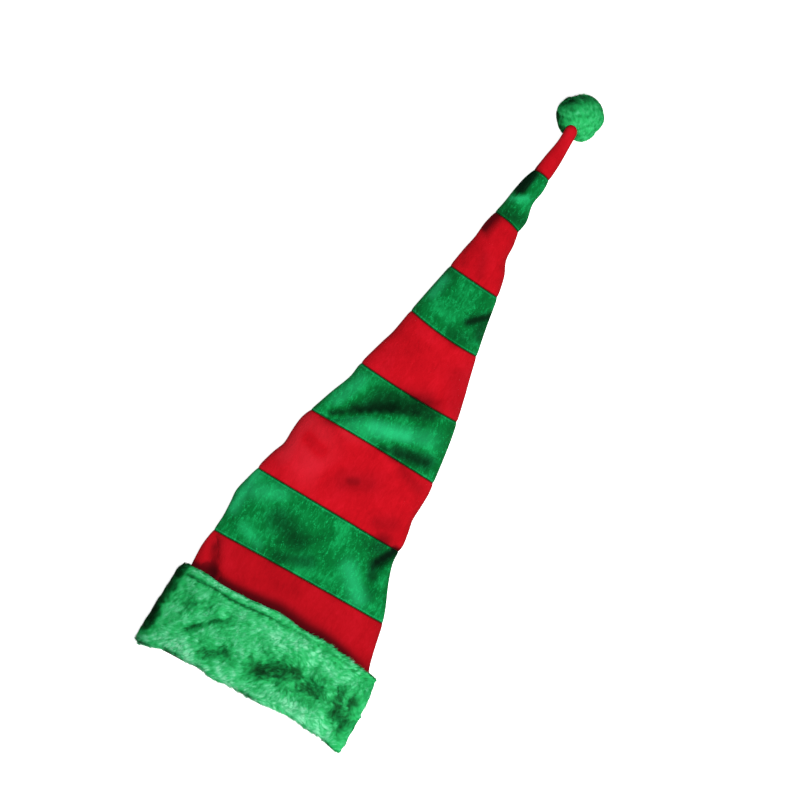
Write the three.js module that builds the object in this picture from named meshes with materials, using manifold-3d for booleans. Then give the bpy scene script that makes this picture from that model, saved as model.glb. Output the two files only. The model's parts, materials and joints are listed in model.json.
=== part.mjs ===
// A long striped elf hat, lying on its side on a flat surface.
// Nine cloth rings, sewn end to end, make a tapering hollow crown. A plush band is turned up round
// the mouth, and a plush pompom is sewn to the tip. Millimetres, +X from the mouth to the tip,
// +Y to the wearer's left as the hat lies, +Z up, z = 0 on the surface that the hat lies on.
import * as THREE from 'three';
import { mergeVertices } from 'three/addons/utils/BufferGeometryUtils.js';
import Module from 'manifold-3d';

const wasm = await Module();
wasm.setup();

// Driving sizes
const crownLength = 833; // from the mouth to the tip, along the hat
const cuffWidth = 300; // across the turned-up band, lying flat
const cuffDepth = 112; // from the mouth's edge to the band's upper edge
const cuffPlush = 12; // thickness of the folded plush band
const cuffTuft = 3.2; // how far the tufts of the band stand out
const hemGroove = 3.2; // depth of the sewn groove below the band's upper edge
const clothWall = 2.2; // cloth of the crown with its short nap
const crownPuff = 46; // greatest height of the crown off the surface
const hemShow = 1; // red cloth that shows past the band at the mouth
const seamDip = 1.6; // how far a seam pulls the cloth in
const seamReach = 5; // how far from a seam the cloth is pulled in
const settleLength = 88; // over this length the crown comes down from the band to the surface
const pompomDiameter = 60;
const pompomLock = 7.5; // radius of one lock of the pompom where it is widest
const tipRise = 38; // how far the tip climbs onto the pompom
const pieceGap = 0.3; // between sewn pieces

const foot = cuffPlush + pieceGap;
const crownHalf = cuffWidth / 2 - foot;

const clothColours = {
  red: new THREE.Color('#c8101c'),
  green: new THREE.Color('#0e9c4f'),
};
const plushColour = new THREE.Color('#33b56a');

// The cloth rings from the mouth to the tip. 'length' is a share of crownLength, and 'around' and
// 'along' count the facets of each.
const panels = [
  { name: 'panel_1_red', cloth: 'red', length: 0.198, around: 30, along: 9 },
  { name: 'panel_2_green', cloth: 'green', length: 0.11, around: 30, along: 7 },
  { name: 'panel_3_red', cloth: 'red', length: 0.118, around: 30, along: 7 },
  { name: 'panel_4_green', cloth: 'green', length: 0.095, around: 30, along: 7 },
  { name: 'panel_5_red', cloth: 'red', length: 0.103, around: 24, along: 6 },
  { name: 'panel_6_green', cloth: 'green', length: 0.095, around: 24, along: 6 },
  { name: 'panel_7_red', cloth: 'red', length: 0.107, around: 18, along: 7 },
  { name: 'panel_8_green', cloth: 'green', length: 0.089, around: 18, along: 7 },
  { name: 'panel_9_red', cloth: 'red', length: 0.085, around: 14, along: 7 },
];

// Sections of the crown. 'at' counts cloth rings from the mouth: 2.5 is half way along the third.
// 'left' and 'right' are shares of crownHalf, 'thick' is a share of crownPuff.
const sections = [
  { at: -0.1, left: 1.018, right: 0.993, thick: 0.565 },
  { at: 0.0, left: 1.018, right: 0.993, thick: 0.565 },
  { at: 0.36, left: 1.008, right: 0.988, thick: 0.565 },
  { at: 0.58, left: 0.998, right: 0.962, thick: 0.587 },
  { at: 0.68, left: 0.988, right: 0.936, thick: 0.63 },
  { at: 0.75, left: 0.993, right: 0.902, thick: 0.68 },
  { at: 0.87, left: 0.998, right: 0.854, thick: 0.783 },
  { at: 1.0, left: 0.978, right: 0.812, thick: 0.891 },
  { at: 1.2, left: 0.967, right: 0.76, thick: 0.978 },
  { at: 1.42, left: 0.974, right: 0.696, thick: 1.0 },
  { at: 1.6, left: 0.983, right: 0.65, thick: 1.0 },
  { at: 1.82, left: 0.95, right: 0.608, thick: 0.989 },
  { at: 1.97, left: 0.923, right: 0.603, thick: 0.978 },
  { at: 2.1, left: 0.905, right: 0.608, thick: 0.978 },
  { at: 2.29, left: 0.866, right: 0.588, thick: 0.978 },
  { at: 2.45, left: 0.825, right: 0.565, thick: 0.978 },
  { at: 2.66, left: 0.82, right: 0.569, thick: 0.978 },
  { at: 2.85, left: 0.806, right: 0.57, thick: 0.957 },
  { at: 3.02, left: 0.765, right: 0.556, thick: 0.935 },
  { at: 3.41, left: 0.685, right: 0.524, thick: 0.935 },
  { at: 3.74, left: 0.61, right: 0.492, thick: 0.913 },
  { at: 4.0, left: 0.588, right: 0.459, thick: 0.891 },
  { at: 4.4, left: 0.519, right: 0.4, thick: 0.87 },
  { at: 4.58, left: 0.483, right: 0.371, thick: 0.845 },
  { at: 4.72, left: 0.465, right: 0.349, thick: 0.826 },
  { at: 5.0, left: 0.437, right: 0.308, thick: 0.804 },
  { at: 5.5, left: 0.386, right: 0.248, thick: 0.761 },
  { at: 6.0, left: 0.334, right: 0.197, thick: 0.696 },
  { at: 6.32, left: 0.302, right: 0.153, thick: 0.652 },
  { at: 6.55, left: 0.272, right: 0.092, thick: 0.587 },
  { at: 6.79, left: 0.258, right: 0.081, thick: 0.565 },
  { at: 7.0, left: 0.229, right: 0.061, thick: 0.522 },
  { at: 7.22, left: 0.203, right: 0.073, thick: 0.522 },
  { at: 7.53, left: 0.18, right: 0.04, thick: 0.478 },
  { at: 7.78, left: 0.154, right: 0.061, thick: 0.457 },
  { at: 8.0, left: 0.117, right: 0.06, thick: 0.413 },
  { at: 8.33, left: 0.088, right: 0.068, thick: 0.402 },
  { at: 8.64, left: 0.06, right: 0.064, thick: 0.38 },
  { at: 9.0, left: 0.057, right: 0.06, thick: 0.37 },
];

// How the seams and edges lean and bow across the hat, as shares of crownHalf.
const bends = [
  { at: 0.0, lean: -0.028, bow: 0.055 },
  { at: 0.68, lean: 0.014, bow: 0.073 },
  { at: 1.0, lean: -0.022, bow: 0.012 },
  { at: 2.0, lean: 0.005, bow: 0.005 },
  { at: 3.0, lean: 0.007, bow: 0.011 },
  { at: 4.0, lean: 0.012, bow: -0.017 },
  { at: 5.0, lean: 0.03, bow: -0.025 },
  { at: 6.0, lean: 0.016, bow: -0.006 },
  { at: 7.0, lean: 0.025, bow: 0.012 },
  { at: 8.0, lean: 0.009, bow: 0.009 },
  { at: 9.0, lean: 0, bow: 0 },
];

// Folds of the crown's upper side, each from one place to another. 'across' is a share of
// crownHalf, 'width' and 'rise' are shares of crownPuff, and a dent has a negative rise.
const folds = [
  { fromAt: 0.955, fromAcross: 0.95, toAt: 0.676, toAcross: 0.763, width: 0.15, rise: -0.12 },
  { fromAt: 0.96, fromAcross: 0.443, toAt: 0.83, toAcross: 0.247, width: 0.24, rise: -0.055 },
  { fromAt: 1.996, fromAcross: -0.559, toAt: 1.724, toAcross: -0.501, width: 0.18, rise: -0.13 },
  { fromAt: 1.724, fromAcross: -0.501, toAt: 1.365, toAcross: -0.53, width: 0.18, rise: -0.13 },
  { fromAt: 1.4, fromAcross: 0.32, toAt: 1.224, toAcross: 0.167, width: 0.35, rise: -0.076 },
  { fromAt: 2.2, fromAcross: -0.494, toAt: 2.27, toAcross: -0.276, width: 0.2, rise: -0.055 },
  { fromAt: 2.414, fromAcross: 0.174, toAt: 2.578, toAcross: -0.029, width: 0.2, rise: -0.065 },
  { fromAt: 2.843, fromAcross: -0.174, toAt: 2.965, toAcross: -0.32, width: 0.18, rise: -0.055 },
  { fromAt: 3.084, fromAcross: 0.552, toAt: 3.818, toAcross: 0.145, width: 0.2, rise: -0.14 },
  { fromAt: 3.818, fromAcross: 0.145, toAt: 4.158, toAcross: -0.189, width: 0.18, rise: -0.087 },
  { fromAt: 3.248, fromAcross: 0.073, toAt: 3.628, toAcross: -0.399, width: 0.32, rise: 0.087 },
  { fromAt: 3.084, fromAcross: -0.203, toAt: 3.286, toAcross: -0.45, width: 0.2, rise: -0.087 },
  { fromAt: 4.274, fromAcross: -0.203, toAt: 4.437, toAcross: -0.334, width: 0.24, rise: -0.055 },
  { fromAt: 5.071, fromAcross: -0.073, toAt: 5.147, toAcross: -0.203, width: 0.18, rise: -0.065 },
  { fromAt: 5.451, fromAcross: -0.087, toAt: 5.602, toAcross: -0.189, width: 0.18, rise: -0.065 },
  { fromAt: 6.142, fromAcross: 0.26, toAt: 6.23, toAcross: 0.305, width: 0.13, rise: -0.065 },
  { fromAt: 6.681, fromAcross: 0.218, toAt: 6.951, toAcross: 0.174, width: 0.14, rise: -0.087 },
  { fromAt: 7.157, fromAcross: 0.073, toAt: 7.4, toAcross: 0.116, width: 0.2, rise: 0.055 },
  { fromAt: 7.508, fromAcross: 0.153, toAt: 7.968, toAcross: 0.087, width: 0.13, rise: -0.12 },
];

// Creases and pressed patches of the plush band, laid out as the folds are. 'width' is a share of
// cuffDepth and 'rise' a share of cuffPlush.
const cuffDents = [
  { fromAt: 0.46, fromAcross: 0.458, toAt: 0.19, toAcross: 0.787, width: 0.06, rise: -0.3 },
  { fromAt: 0.1, fromAcross: 0.5, toAt: 0.13, toAcross: 0.4, width: 0.09, rise: -0.17 },
  { fromAt: 0.28, fromAcross: -0.05, toAt: 0.25, toAcross: -0.18, width: 0.09, rise: -0.17 },
  { fromAt: 0.34, fromAcross: -0.45, toAt: 0.3, toAcross: -0.58, width: 0.1, rise: -0.2 },
  { fromAt: 0.3, fromAcross: -0.87, toAt: 0.16, toAcross: -0.93, width: 0.09, rise: -0.2 },
];

// One side of the plush band's own section, from the mouth round the outside to the upper edge and
// back inside. 'along' is a share of cuffDepth, 'out' a share of cuffPlush, and 'tuft' is -1, 0 or 1:
// the low and high rings of the overlapping tufts.
const band = [
  { along: 0.0, out: 0.12, tuft: 0 },
  { along: -0.015, out: 0.45, tuft: 0 },
  { along: 0.0, out: 0.78, tuft: 0 },
  { along: 0.05, out: 0.96, tuft: 1 },
  { along: 0.13, out: 1.0, tuft: -1 },
  { along: 0.24, out: 1.0, tuft: 1 },
  { along: 0.31, out: 1.0, tuft: -1 },
  { along: 0.42, out: 1.0, tuft: 1 },
  { along: 0.49, out: 1.0, tuft: -1 },
  { along: 0.6, out: 1.0, tuft: 1 },
  { along: 0.67, out: 1.0, tuft: -1 },
  { along: 0.78, out: 0.98, tuft: 1 },
  { along: 0.86, out: 0.95, tuft: 0 },
  { along: 0.91, out: 0.95, tuft: 0, groove: true },
  { along: 0.95, out: 0.93, tuft: 0 },
  { along: 0.99, out: 0.72, tuft: 0 },
  { along: 1.0, out: 0.35, tuft: 0 },
];

// Rows where the band's inner side and the cloth under it both have their corners.
const nested = [0.04, 0.5, 0.8, 0.97];

const seams = [0];
for (const panel of panels) {
  seams.push(seams.at(-1) + panel.length * crownLength);
}

// Distance from the mouth of a place given in cloth rings.
function station(at) {
  const ring = THREE.MathUtils.clamp(Math.floor(at), 0, panels.length - 1);
  return seams[ring] + (at - ring) * (seams[ring + 1] - seams[ring]);
}

// A place given in cloth rings, from its distance to the mouth.
function placeOf(x) {
  let ring = 0;
  while (ring < panels.length - 1 && x > seams[ring + 1]) {
    ring += 1;
  }
  return ring + (x - seams[ring]) / (seams[ring + 1] - seams[ring]);
}

// A table's column at a place, on a smooth curve through its rows.
function sample(table, column, at) {
  let i = 0;
  while (i < table.length - 2 && at > table[i + 1].at) {
    i += 1;
  }
  const a = table[i];
  const b = table[i + 1];
  const before = table[Math.max(i - 1, 0)];
  const after = table[Math.min(i + 2, table.length - 1)];
  const span = b.at - a.at;
  const t = THREE.MathUtils.clamp((at - a.at) / span, 0, 1);
  const slopeA = (b[column] - before[column]) / (b.at - before.at);
  const slopeB = (after[column] - a[column]) / (after.at - a.at);
  const t2 = t * t;
  const t3 = t2 * t;
  return (
    (2 * t3 - 3 * t2 + 1) * a[column] +
    (t3 - 2 * t2 + t) * span * slopeA +
    (3 * t2 - 2 * t3) * b[column] +
    (t3 - t2) * span * slopeB
  );
}

// Height that a table of folds adds at a place of the hat, seen from above.
function foldHeight(table, widthUnit, riseUnit, x, y) {
  let height = 0;
  for (const fold of table) {
    const fromX = station(fold.fromAt);
    const fromY = fold.fromAcross * crownHalf;
    const runX = station(fold.toAt) - fromX;
    const runY = fold.toAcross * crownHalf - fromY;
    const along = ((x - fromX) * runX + (y - fromY) * runY) / (runX * runX + runY * runY);
    const share = THREE.MathUtils.clamp(along, 0, 1);
    const away = Math.hypot(x - fromX - share * runX, y - fromY - share * runY);
    height += fold.rise * riseUnit * Math.exp(-((away / (fold.width * widthUnit)) ** 2));
  }
  return height;
}

// How far the nearest seam pulls the cloth in.
function seamPull(x) {
  let pull = 0;
  for (const seam of seams.slice(1, -1)) {
    pull += seamDip * Math.exp(-(((x - seam) / seamReach) ** 2) * 2);
  }
  return pull;
}

// Height of the crown's underside: on the plush band, then on the surface, then up onto the pompom.
function underside(x) {
  const settled = THREE.MathUtils.smoothstep(x, cuffDepth, cuffDepth + settleLength);
  const climbed = THREE.MathUtils.smoothstep(x, seams.at(-2) + seamReach, seams.at(-1));
  return foot * (1 - settled) + tipRise * climbed;
}

// The tip is closed by a round end: its section shrinks to nothing over this share of the last ring.
const tipRound = 0.12;
function tipShrink(at) {
  const into = (at - (panels.length - tipRound)) / tipRound;
  return into <= 0 ? 1 : Math.sqrt(Math.max(1 - into * into, 0));
}

// The angles at which a section has its corners: most of them over the top, few under the hat.
const topShare = 0.74;
function angles(count) {
  const over = Math.round(count * topShare);
  const list = [];
  for (let i = 0; i < over; i += 1) {
    list.push((Math.PI * i) / over);
  }
  for (let i = 0; i < count - over; i += 1) {
    list.push(Math.PI * (1 + i / (count - over)));
  }
  return list;
}

const widest = 0.42; // height of the widest place, as a share of the section's thickness
const topRoundness = 2.3; // exponent of the section's upper curve, 2 is an ellipse
const underRoundness = 4; // exponent of the lower curve, which is pressed flat on the surface
const underPress = 1.12; // how much of that curve the surface takes away

// A point of the crown's surface, or of one that lies 'out' from it.
function crownPoint(at, angle, out, folded = true) {
  const round = tipShrink(at);
  const x = station(at);
  const pull = seamPull(x);
  const left = sample(sections, 'left', at) * crownHalf;
  const right = sample(sections, 'right', at) * crownHalf;
  const half = ((left + right) / 2 - pull) * round + out;
  const middle = (left - right) / 2;
  const thick = sample(sections, 'thick', at) * crownPuff;
  const centre = underside(x) + widest * thick;
  const c = Math.cos(angle);
  const s = Math.sin(angle);
  const curve = s >= 0 ? topRoundness : underRoundness;
  const across = Math.sign(c) * Math.abs(c) ** (2 / curve);
  const rise = Math.abs(s) ** (2 / curve);
  const y = middle + across * half;
  const lean = sample(bends, 'lean', at) * crownHalf;
  const bow = sample(bends, 'bow', at) * crownHalf;
  const bentX = x + lean * across - bow * across * across;
  let z;
  if (s >= 0) {
    z = centre + (((1 - widest) * thick - pull) * round + out) * rise;
    if (folded) {
      const share = THREE.MathUtils.smoothstep(s, 0, 0.55) * round;
      z += share * foldHeight(folds, crownPuff, crownPuff, x, y);
    }
  } else {
    z = centre - (widest * thick * round + out) * Math.min(1, rise * underPress);
  }
  return new THREE.Vector3(bentX, y, z);
}

function ring(at, count, out, folded) {
  return angles(count).map((angle) => crownPoint(at, angle, out, folded));
}

// A closed skin through rings of points. Without end points the last ring joins the first, as in a
// ring doughnut. With them it closes at a point at each end.
function skin(rings, firstPoint, lastPoint) {
  const count = rings[0].length;
  const points = rings.flat();
  const faces = [];
  const open = firstPoint !== undefined;
  const spans = open ? rings.length - 1 : rings.length;
  for (let r = 0; r < spans; r += 1) {
    const next = (r + 1) % rings.length;
    for (let i = 0; i < count; i += 1) {
      const j = (i + 1) % count;
      faces.push(r * count + i, next * count + j, next * count + i);
      faces.push(r * count + i, r * count + j, next * count + j);
    }
  }
  if (open) {
    const first = points.push(firstPoint) - 1;
    const last = points.push(lastPoint) - 1;
    for (let i = 0; i < count; i += 1) {
      const j = (i + 1) % count;
      faces.push(first, j, i);
      faces.push(last, (rings.length - 1) * count + i, (rings.length - 1) * count + j);
    }
  }
  const geometry = new THREE.BufferGeometry().setFromPoints(points);
  geometry.setIndex(faces);
  geometry.computeVertexNormals();
  return geometry;
}

// Places of a cloth ring's facet rows: one close to each seam, the others evenly between.
function rows(panel, index) {
  const start = index === 0 ? -hemShow : seams[index] + pieceGap / 2;
  const last = index === panels.length - 1;
  const end = last ? seams[index + 1] : seams[index + 1] - pieceGap / 2;
  const hidden = index === 0 ? nested.map((share) => share * cuffDepth) : [];
  const near = index === 0 ? cuffDepth + seamReach : start + seamReach;
  const far = last ? station(panels.length - tipRound) : end - seamReach;
  const list = [start, ...hidden];
  const steps = panel.along - 2 - hidden.length;
  for (let i = 0; i <= steps; i += 1) {
    list.push(near + ((far - near) * i) / steps);
  }
  list.push(end);
  return list.map(placeOf);
}

function clothRing(panel, index) {
  const places = rows(panel, index);
  const outer = places.map((at) => ring(at, panel.around, 0));
  const inner = places.map((at) => ring(at, panel.around, -clothWall));
  return skin([...outer, ...inner.reverse()]);
}

// Facet rows of the tip's round end.
const tipRows = [0.35, 0.7, 0.92].map((share) => panels.length - tipRound * (1 - share));

// The last cloth ring is closed at the tip, so its skin runs from the hollow's end back to the open
// seam and then along the outside to the tip's own end.
function tipCone(panel, index) {
  const places = rows(panel, index).slice(0, -1);
  const outer = [...places, ...tipRows].map((at) => ring(at, panel.around, 0));
  const inner = places.map((at) => ring(at, panel.around, -clothWall));
  const outerEnd = crownPoint(panels.length, 0, 0);
  const innerEnd = middleOf(inner.at(-1));
  innerEnd.x += clothWall;
  return skin([...inner.reverse(), ...outer], innerEnd, outerEnd);
}

function middleOf(points) {
  const sum = points.reduce((total, point) => total.add(point), new THREE.Vector3());
  return sum.divideScalar(points.length);
}

// The band's corners lie at those of the first cloth ring and half way between, so that the two
// faceted walls stay a constant gap apart.
const cuffAround = panels[0].around * 2;

function cuffRing(row) {
  const along = row.along * cuffDepth;
  const at = placeOf(along);
  return angles(cuffAround).map((angle, i) => {
    const outward = row.out * cuffPlush;
    const stagger = row.tuft < 0 ? 1 : 0;
    const high = (i + stagger) % 2 === 0;
    const top = Math.max(Math.sin(angle), 0);
    const loose = Math.min(top * 4, 1);
    let out = pieceGap + outward;
    if (row.tuft !== 0) {
      out -= loose * cuffTuft * (high ? 0 : 0.5) + (row.tuft < 0 ? loose * cuffTuft * 0.5 : 0);
    }
    if (row.groove) {
      out -= hemGroove * loose;
    }
    const point = crownPoint(at, angle, out, false);
    if (row.out > 0.9) {
      point.z += loose * foldHeight(cuffDents, cuffDepth, cuffPlush, point.x, point.y);
    }
    return point;
  });
}

function makeCuff() {
  const inner = nested.map((share) => ({ along: share, out: 0, tuft: 0 })).reverse();
  return skin([...band, ...inner].map(cuffRing));
}

// Joining and cutting
function toSolid(geometry) {
  const bare = geometry.clone();
  bare.deleteAttribute('normal');
  bare.deleteAttribute('uv');
  const merged = mergeVertices(bare, 1e-4);
  return new wasm.Manifold(
    new wasm.Mesh({
      numProp: 3,
      vertProperties: new Float32Array(merged.attributes.position.array),
      triVerts: new Uint32Array(merged.index.array),
    }),
  );
}

function toGeometry(solid) {
  const mesh = solid.getMesh();
  const geometry = new THREE.BufferGeometry();
  geometry.setAttribute('position', new THREE.BufferAttribute(mesh.vertProperties, 3));
  geometry.setIndex(new THREE.BufferAttribute(mesh.triVerts, 1));
  geometry.computeVertexNormals();
  return geometry;
}

const slotGap = pieceGap * 1.4; // between the tip and the plush beside it
const pompomSet = 0.25; // how far past the tip the pompom's middle lies, as a share of its diameter
const lockCount = 36;
const lockSides = 5;
const coreShare = 0.83; // radius of the pompom's solid ball, as a share of its full radius
const flatSide = new THREE.Vector3(-0.33, -0.94, 0); // the side where its locks are pressed short
const flatShare = 0.1;

// A lock points out from the ball's middle, and is blunt at its end.
function lock(direction, length) {
  const profile = [
    new THREE.Vector2(0, 0.5 * length),
    new THREE.Vector2(pompomLock * 0.9, 0.5 * length),
    new THREE.Vector2(pompomLock, 0.76 * length),
    new THREE.Vector2(pompomLock * 0.8, 0.92 * length),
    new THREE.Vector2(0, length),
  ];
  const geometry = new THREE.LatheGeometry(profile, lockSides);
  const turn = new THREE.Quaternion().setFromUnitVectors(new THREE.Vector3(0, 1, 0), direction);
  geometry.applyQuaternion(turn);
  return geometry;
}

function makePompom() {
  const radius = pompomDiameter / 2;
  let ball = toSolid(new THREE.IcosahedronGeometry(radius * coreShare, 1));
  const goldenAngle = Math.PI * (3 - Math.sqrt(5));
  for (let i = 0; i < lockCount; i += 1) {
    const up = 1 - (2 * (i + 0.5)) / lockCount;
    const level = Math.sqrt(1 - up * up);
    const direction = new THREE.Vector3(
      level * Math.cos(i * goldenAngle),
      level * Math.sin(i * goldenAngle),
      up,
    );
    const pressed = Math.max(direction.dot(flatSide), 0) ** 2;
    const uneven = 0.03 * Math.sin(i * 2.4);
    const length = radius * (1 - flatShare * pressed + uneven - 0.03);
    ball = ball.add(toSolid(lock(direction, length)));
  }
  const middleX = seams.at(-1) + pompomSet * pompomDiameter;
  const lowest = ball.boundingBox().min[2];
  const placed = ball.translate([middleX, 0, -lowest]);
  return toGeometry(placed.subtract(toSolid(tipSlot())));
}

// The place that the tip takes in the pompom, open to above where the plush parts over it.
function tipSlot() {
  const panel = panels.at(-1);
  const places = rows(panel, panels.length - 1).slice(1, -1);
  const rings = [...places, ...tipRows].map((at) =>
    angles(panel.around).map((angle) => {
      const point = crownPoint(at, angle, slotGap);
      point.z += Math.sin(angle) > 0.01 ? pompomDiameter : 0;
      return point;
    }),
  );
  const last = crownPoint(panels.length, 0, 0);
  last.x += slotGap;
  return skin(rings, middleOf(rings[0]), last);
}

const clothMaterials = {
  red: new THREE.MeshStandardMaterial({ color: clothColours.red, roughness: 0.85, metalness: 0 }),
  green: new THREE.MeshStandardMaterial({ color: clothColours.green, roughness: 0.85, metalness: 0 }),
};
const plush = new THREE.MeshStandardMaterial({ color: plushColour, roughness: 0.95, metalness: 0 });

function named(name, geometry, material) {
  const mesh = new THREE.Mesh(geometry, material);
  mesh.name = name;
  return mesh;
}

const hat = new THREE.Group();
panels.forEach((panel, index) => {
  const last = index === panels.length - 1;
  const geometry = last ? tipCone(panel, index) : clothRing(panel, index);
  hat.add(named(panel.name, geometry, clothMaterials[panel.cloth]));
});
hat.add(named('cuff', makeCuff(), plush));
hat.add(named('pompom', makePompom(), plush));

// The origin is the middle of the hat's box, on the surface that it lies on.
const box = new THREE.Box3().setFromObject(hat);
const centre = box.getCenter(new THREE.Vector3());
hat.position.set(-centre.x, -centre.y, -box.min.z);

export default hat;
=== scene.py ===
# %% [markdown]
# # A long striped elf hat
# The real hat is soft: nine rings of short-napped velour, red and green in turn, are sewn end to end
# into a long cone. A plush band is turned up round the mouth and a plush pompom is sewn to the tip.
# It lies on its side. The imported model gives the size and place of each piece. Here every piece gets
# the surface of the real one: cloth that creases, seams that pull in, and pile made of real fibres.

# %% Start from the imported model
import json
import math

import bpy
import numpy as np
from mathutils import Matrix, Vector

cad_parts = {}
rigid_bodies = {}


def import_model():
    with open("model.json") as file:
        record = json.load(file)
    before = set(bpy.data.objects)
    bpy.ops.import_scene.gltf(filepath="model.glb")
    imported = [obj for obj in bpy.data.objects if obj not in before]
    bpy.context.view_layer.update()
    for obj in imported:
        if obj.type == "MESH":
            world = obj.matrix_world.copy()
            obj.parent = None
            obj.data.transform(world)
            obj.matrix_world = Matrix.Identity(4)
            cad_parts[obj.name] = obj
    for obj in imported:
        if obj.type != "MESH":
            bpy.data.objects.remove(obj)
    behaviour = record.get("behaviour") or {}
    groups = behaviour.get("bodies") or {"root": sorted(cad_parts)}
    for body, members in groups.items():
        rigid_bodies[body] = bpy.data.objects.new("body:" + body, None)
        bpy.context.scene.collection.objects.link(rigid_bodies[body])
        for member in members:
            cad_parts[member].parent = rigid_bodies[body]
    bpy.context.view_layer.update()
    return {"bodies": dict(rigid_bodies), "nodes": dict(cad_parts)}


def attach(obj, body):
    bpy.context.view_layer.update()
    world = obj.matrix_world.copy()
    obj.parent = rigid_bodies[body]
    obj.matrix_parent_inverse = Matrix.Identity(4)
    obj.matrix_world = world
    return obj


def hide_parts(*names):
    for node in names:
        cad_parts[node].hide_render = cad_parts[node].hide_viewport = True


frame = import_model()
print("packed nodes:", sorted(frame["nodes"]))

# %% [markdown]
# ## Small tools
# Lengths in this file are millimetres until a mesh is made. A table keeps its columns by name, and
# `sample` reads a column anywhere on a smooth curve through the table's rows, so few rows give a
# soft outline. `ripples` adds soft waves in random directions, always the same for the same seed.

# %% Tables, smooth curves and soft waves
MM = 0.001


def table(columns, rows):
    """Rows of numbers whose columns are read by name."""
    return np.array(rows, dtype=[(name, float) for name in columns.split()])


def sample(rows, column, at):
    """A column of a table at any place, on a smooth curve through the rows."""
    place, value = rows["at"], rows[column]
    i = np.clip(np.searchsorted(place, at, side="left") - 1, 0, len(rows) - 2)
    before, after = np.maximum(i - 1, 0), np.minimum(i + 2, len(rows) - 1)
    span = place[i + 1] - place[i]
    t = np.clip((at - place[i]) / span, 0, 1)
    slope_a = (value[i + 1] - value[before]) / (place[i + 1] - place[before])
    slope_b = (value[after] - value[i]) / (place[after] - place[i])
    near, far = 1 - t, t
    return (
        near * near * (1 + 2 * t) * value[i]
        + t * near * near * span * slope_a
        + far * far * (3 - 2 * t) * value[i + 1]
        - far * far * near * span * slope_b
    )


def smoothstep(x, low, high):
    t = np.clip((x - low) / (high - low), 0, 1)
    return t * t * (3 - 2 * t)


def ripples(x, y, size, seed, waves=9):
    """Soft waves about `size` long in random directions, mostly between -1 and 1."""
    rng = np.random.default_rng(seed)
    total = 0
    for _ in range(waves):
        heading, phase = rng.uniform(0, 2 * math.pi, 2)
        rate = 2 * math.pi / size * rng.uniform(0.6, 1.5)
        total = total + np.sin(rate * (x * math.cos(heading) + y * math.sin(heading)) + phase)
    return total / math.sqrt(waves)


print("half way between two rows:", sample(table("at value", [(0, 0), (1, 2), (2, 4)]), "value", 0.5))

# %% [markdown]
# ## The form that the cloth takes
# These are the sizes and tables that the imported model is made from, repeated here because the cloth
# has to lie exactly where that model is. The sections are shares of the cuff's half width and of the
# crown's height. The folds are dents and ridges from one place of the crown to another.

# %% Sizes of the hat
CROWN_LENGTH = 833
CUFF_WIDTH = 300
CUFF_DEPTH = 112
CUFF_PLUSH = 12
HEM_GROOVE = 3.2
CLOTH_WALL = 2.2
CROWN_PUFF = 46
HEM_SHOW = 1
SEAM_DIP = 1.6
SEAM_REACH = 5
SIDE_PULL = 0.4  # share of a seam's dip that shows at the sides
SETTLE_LENGTH = 88
POMPOM_DIAMETER = 60
POMPOM_SET = 0.25
TIP_RISE = 38
TIP_ROUND = 0.12
PIECE_GAP = 0.3
SEWN_GAP = 0.05  # what stays between two rings that are sewn together
WIDEST = 0.42
TOP_ROUNDNESS = 2.3
UNDER_ROUNDNESS = 4
UNDER_PRESS = 1.12

FOOT = CUFF_PLUSH + PIECE_GAP
CROWN_HALF = CUFF_WIDTH / 2 - FOOT

PANELS = [
    ("panel_1_red", 0.198),
    ("panel_2_green", 0.11),
    ("panel_3_red", 0.118),
    ("panel_4_green", 0.095),
    ("panel_5_red", 0.103),
    ("panel_6_green", 0.095),
    ("panel_7_red", 0.107),
    ("panel_8_green", 0.089),
    ("panel_9_red", 0.085),
]
LENGTHS = np.array([share * CROWN_LENGTH for _, share in PANELS])
SEAMS = np.concatenate([[0], np.cumsum(LENGTHS)])
print("seams, mm from the mouth:", SEAMS.round(1))

# %% Sections, bends and folds of the crown
SECTIONS = table("at left right thick", [
    (-0.1, 1.018, 0.993, 0.565),
    (0.0, 1.018, 0.993, 0.565),
    (0.36, 1.008, 0.988, 0.565),
    (0.58, 0.998, 0.962, 0.587),
    (0.68, 0.988, 0.936, 0.63),
    (0.75, 0.993, 0.902, 0.68),
    (0.87, 0.998, 0.854, 0.783),
    (1.0, 0.978, 0.812, 0.891),
    (1.2, 0.967, 0.76, 0.978),
    (1.42, 0.974, 0.696, 1.0),
    (1.6, 0.983, 0.65, 1.0),
    (1.82, 0.95, 0.608, 0.989),
    (1.97, 0.923, 0.603, 0.978),
    (2.1, 0.905, 0.608, 0.978),
    (2.29, 0.866, 0.588, 0.978),
    (2.45, 0.825, 0.565, 0.978),
    (2.66, 0.82, 0.569, 0.978),
    (2.85, 0.806, 0.57, 0.957),
    (3.02, 0.765, 0.556, 0.935),
    (3.41, 0.685, 0.524, 0.935),
    (3.74, 0.61, 0.492, 0.913),
    (4.0, 0.588, 0.459, 0.891),
    (4.4, 0.519, 0.4, 0.87),
    (4.58, 0.483, 0.371, 0.845),
    (4.72, 0.465, 0.349, 0.826),
    (5.0, 0.437, 0.308, 0.804),
    (5.5, 0.386, 0.248, 0.761),
    (6.0, 0.334, 0.197, 0.696),
    (6.32, 0.302, 0.153, 0.652),
    (6.55, 0.272, 0.092, 0.587),
    (6.79, 0.258, 0.081, 0.565),
    (7.0, 0.229, 0.061, 0.522),
    (7.22, 0.203, 0.073, 0.522),
    (7.53, 0.18, 0.04, 0.478),
    (7.78, 0.154, 0.061, 0.457),
    (8.0, 0.117, 0.06, 0.413),
    (8.33, 0.088, 0.068, 0.402),
    (8.64, 0.06, 0.064, 0.38),
    (9.0, 0.057, 0.06, 0.37),
])
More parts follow.
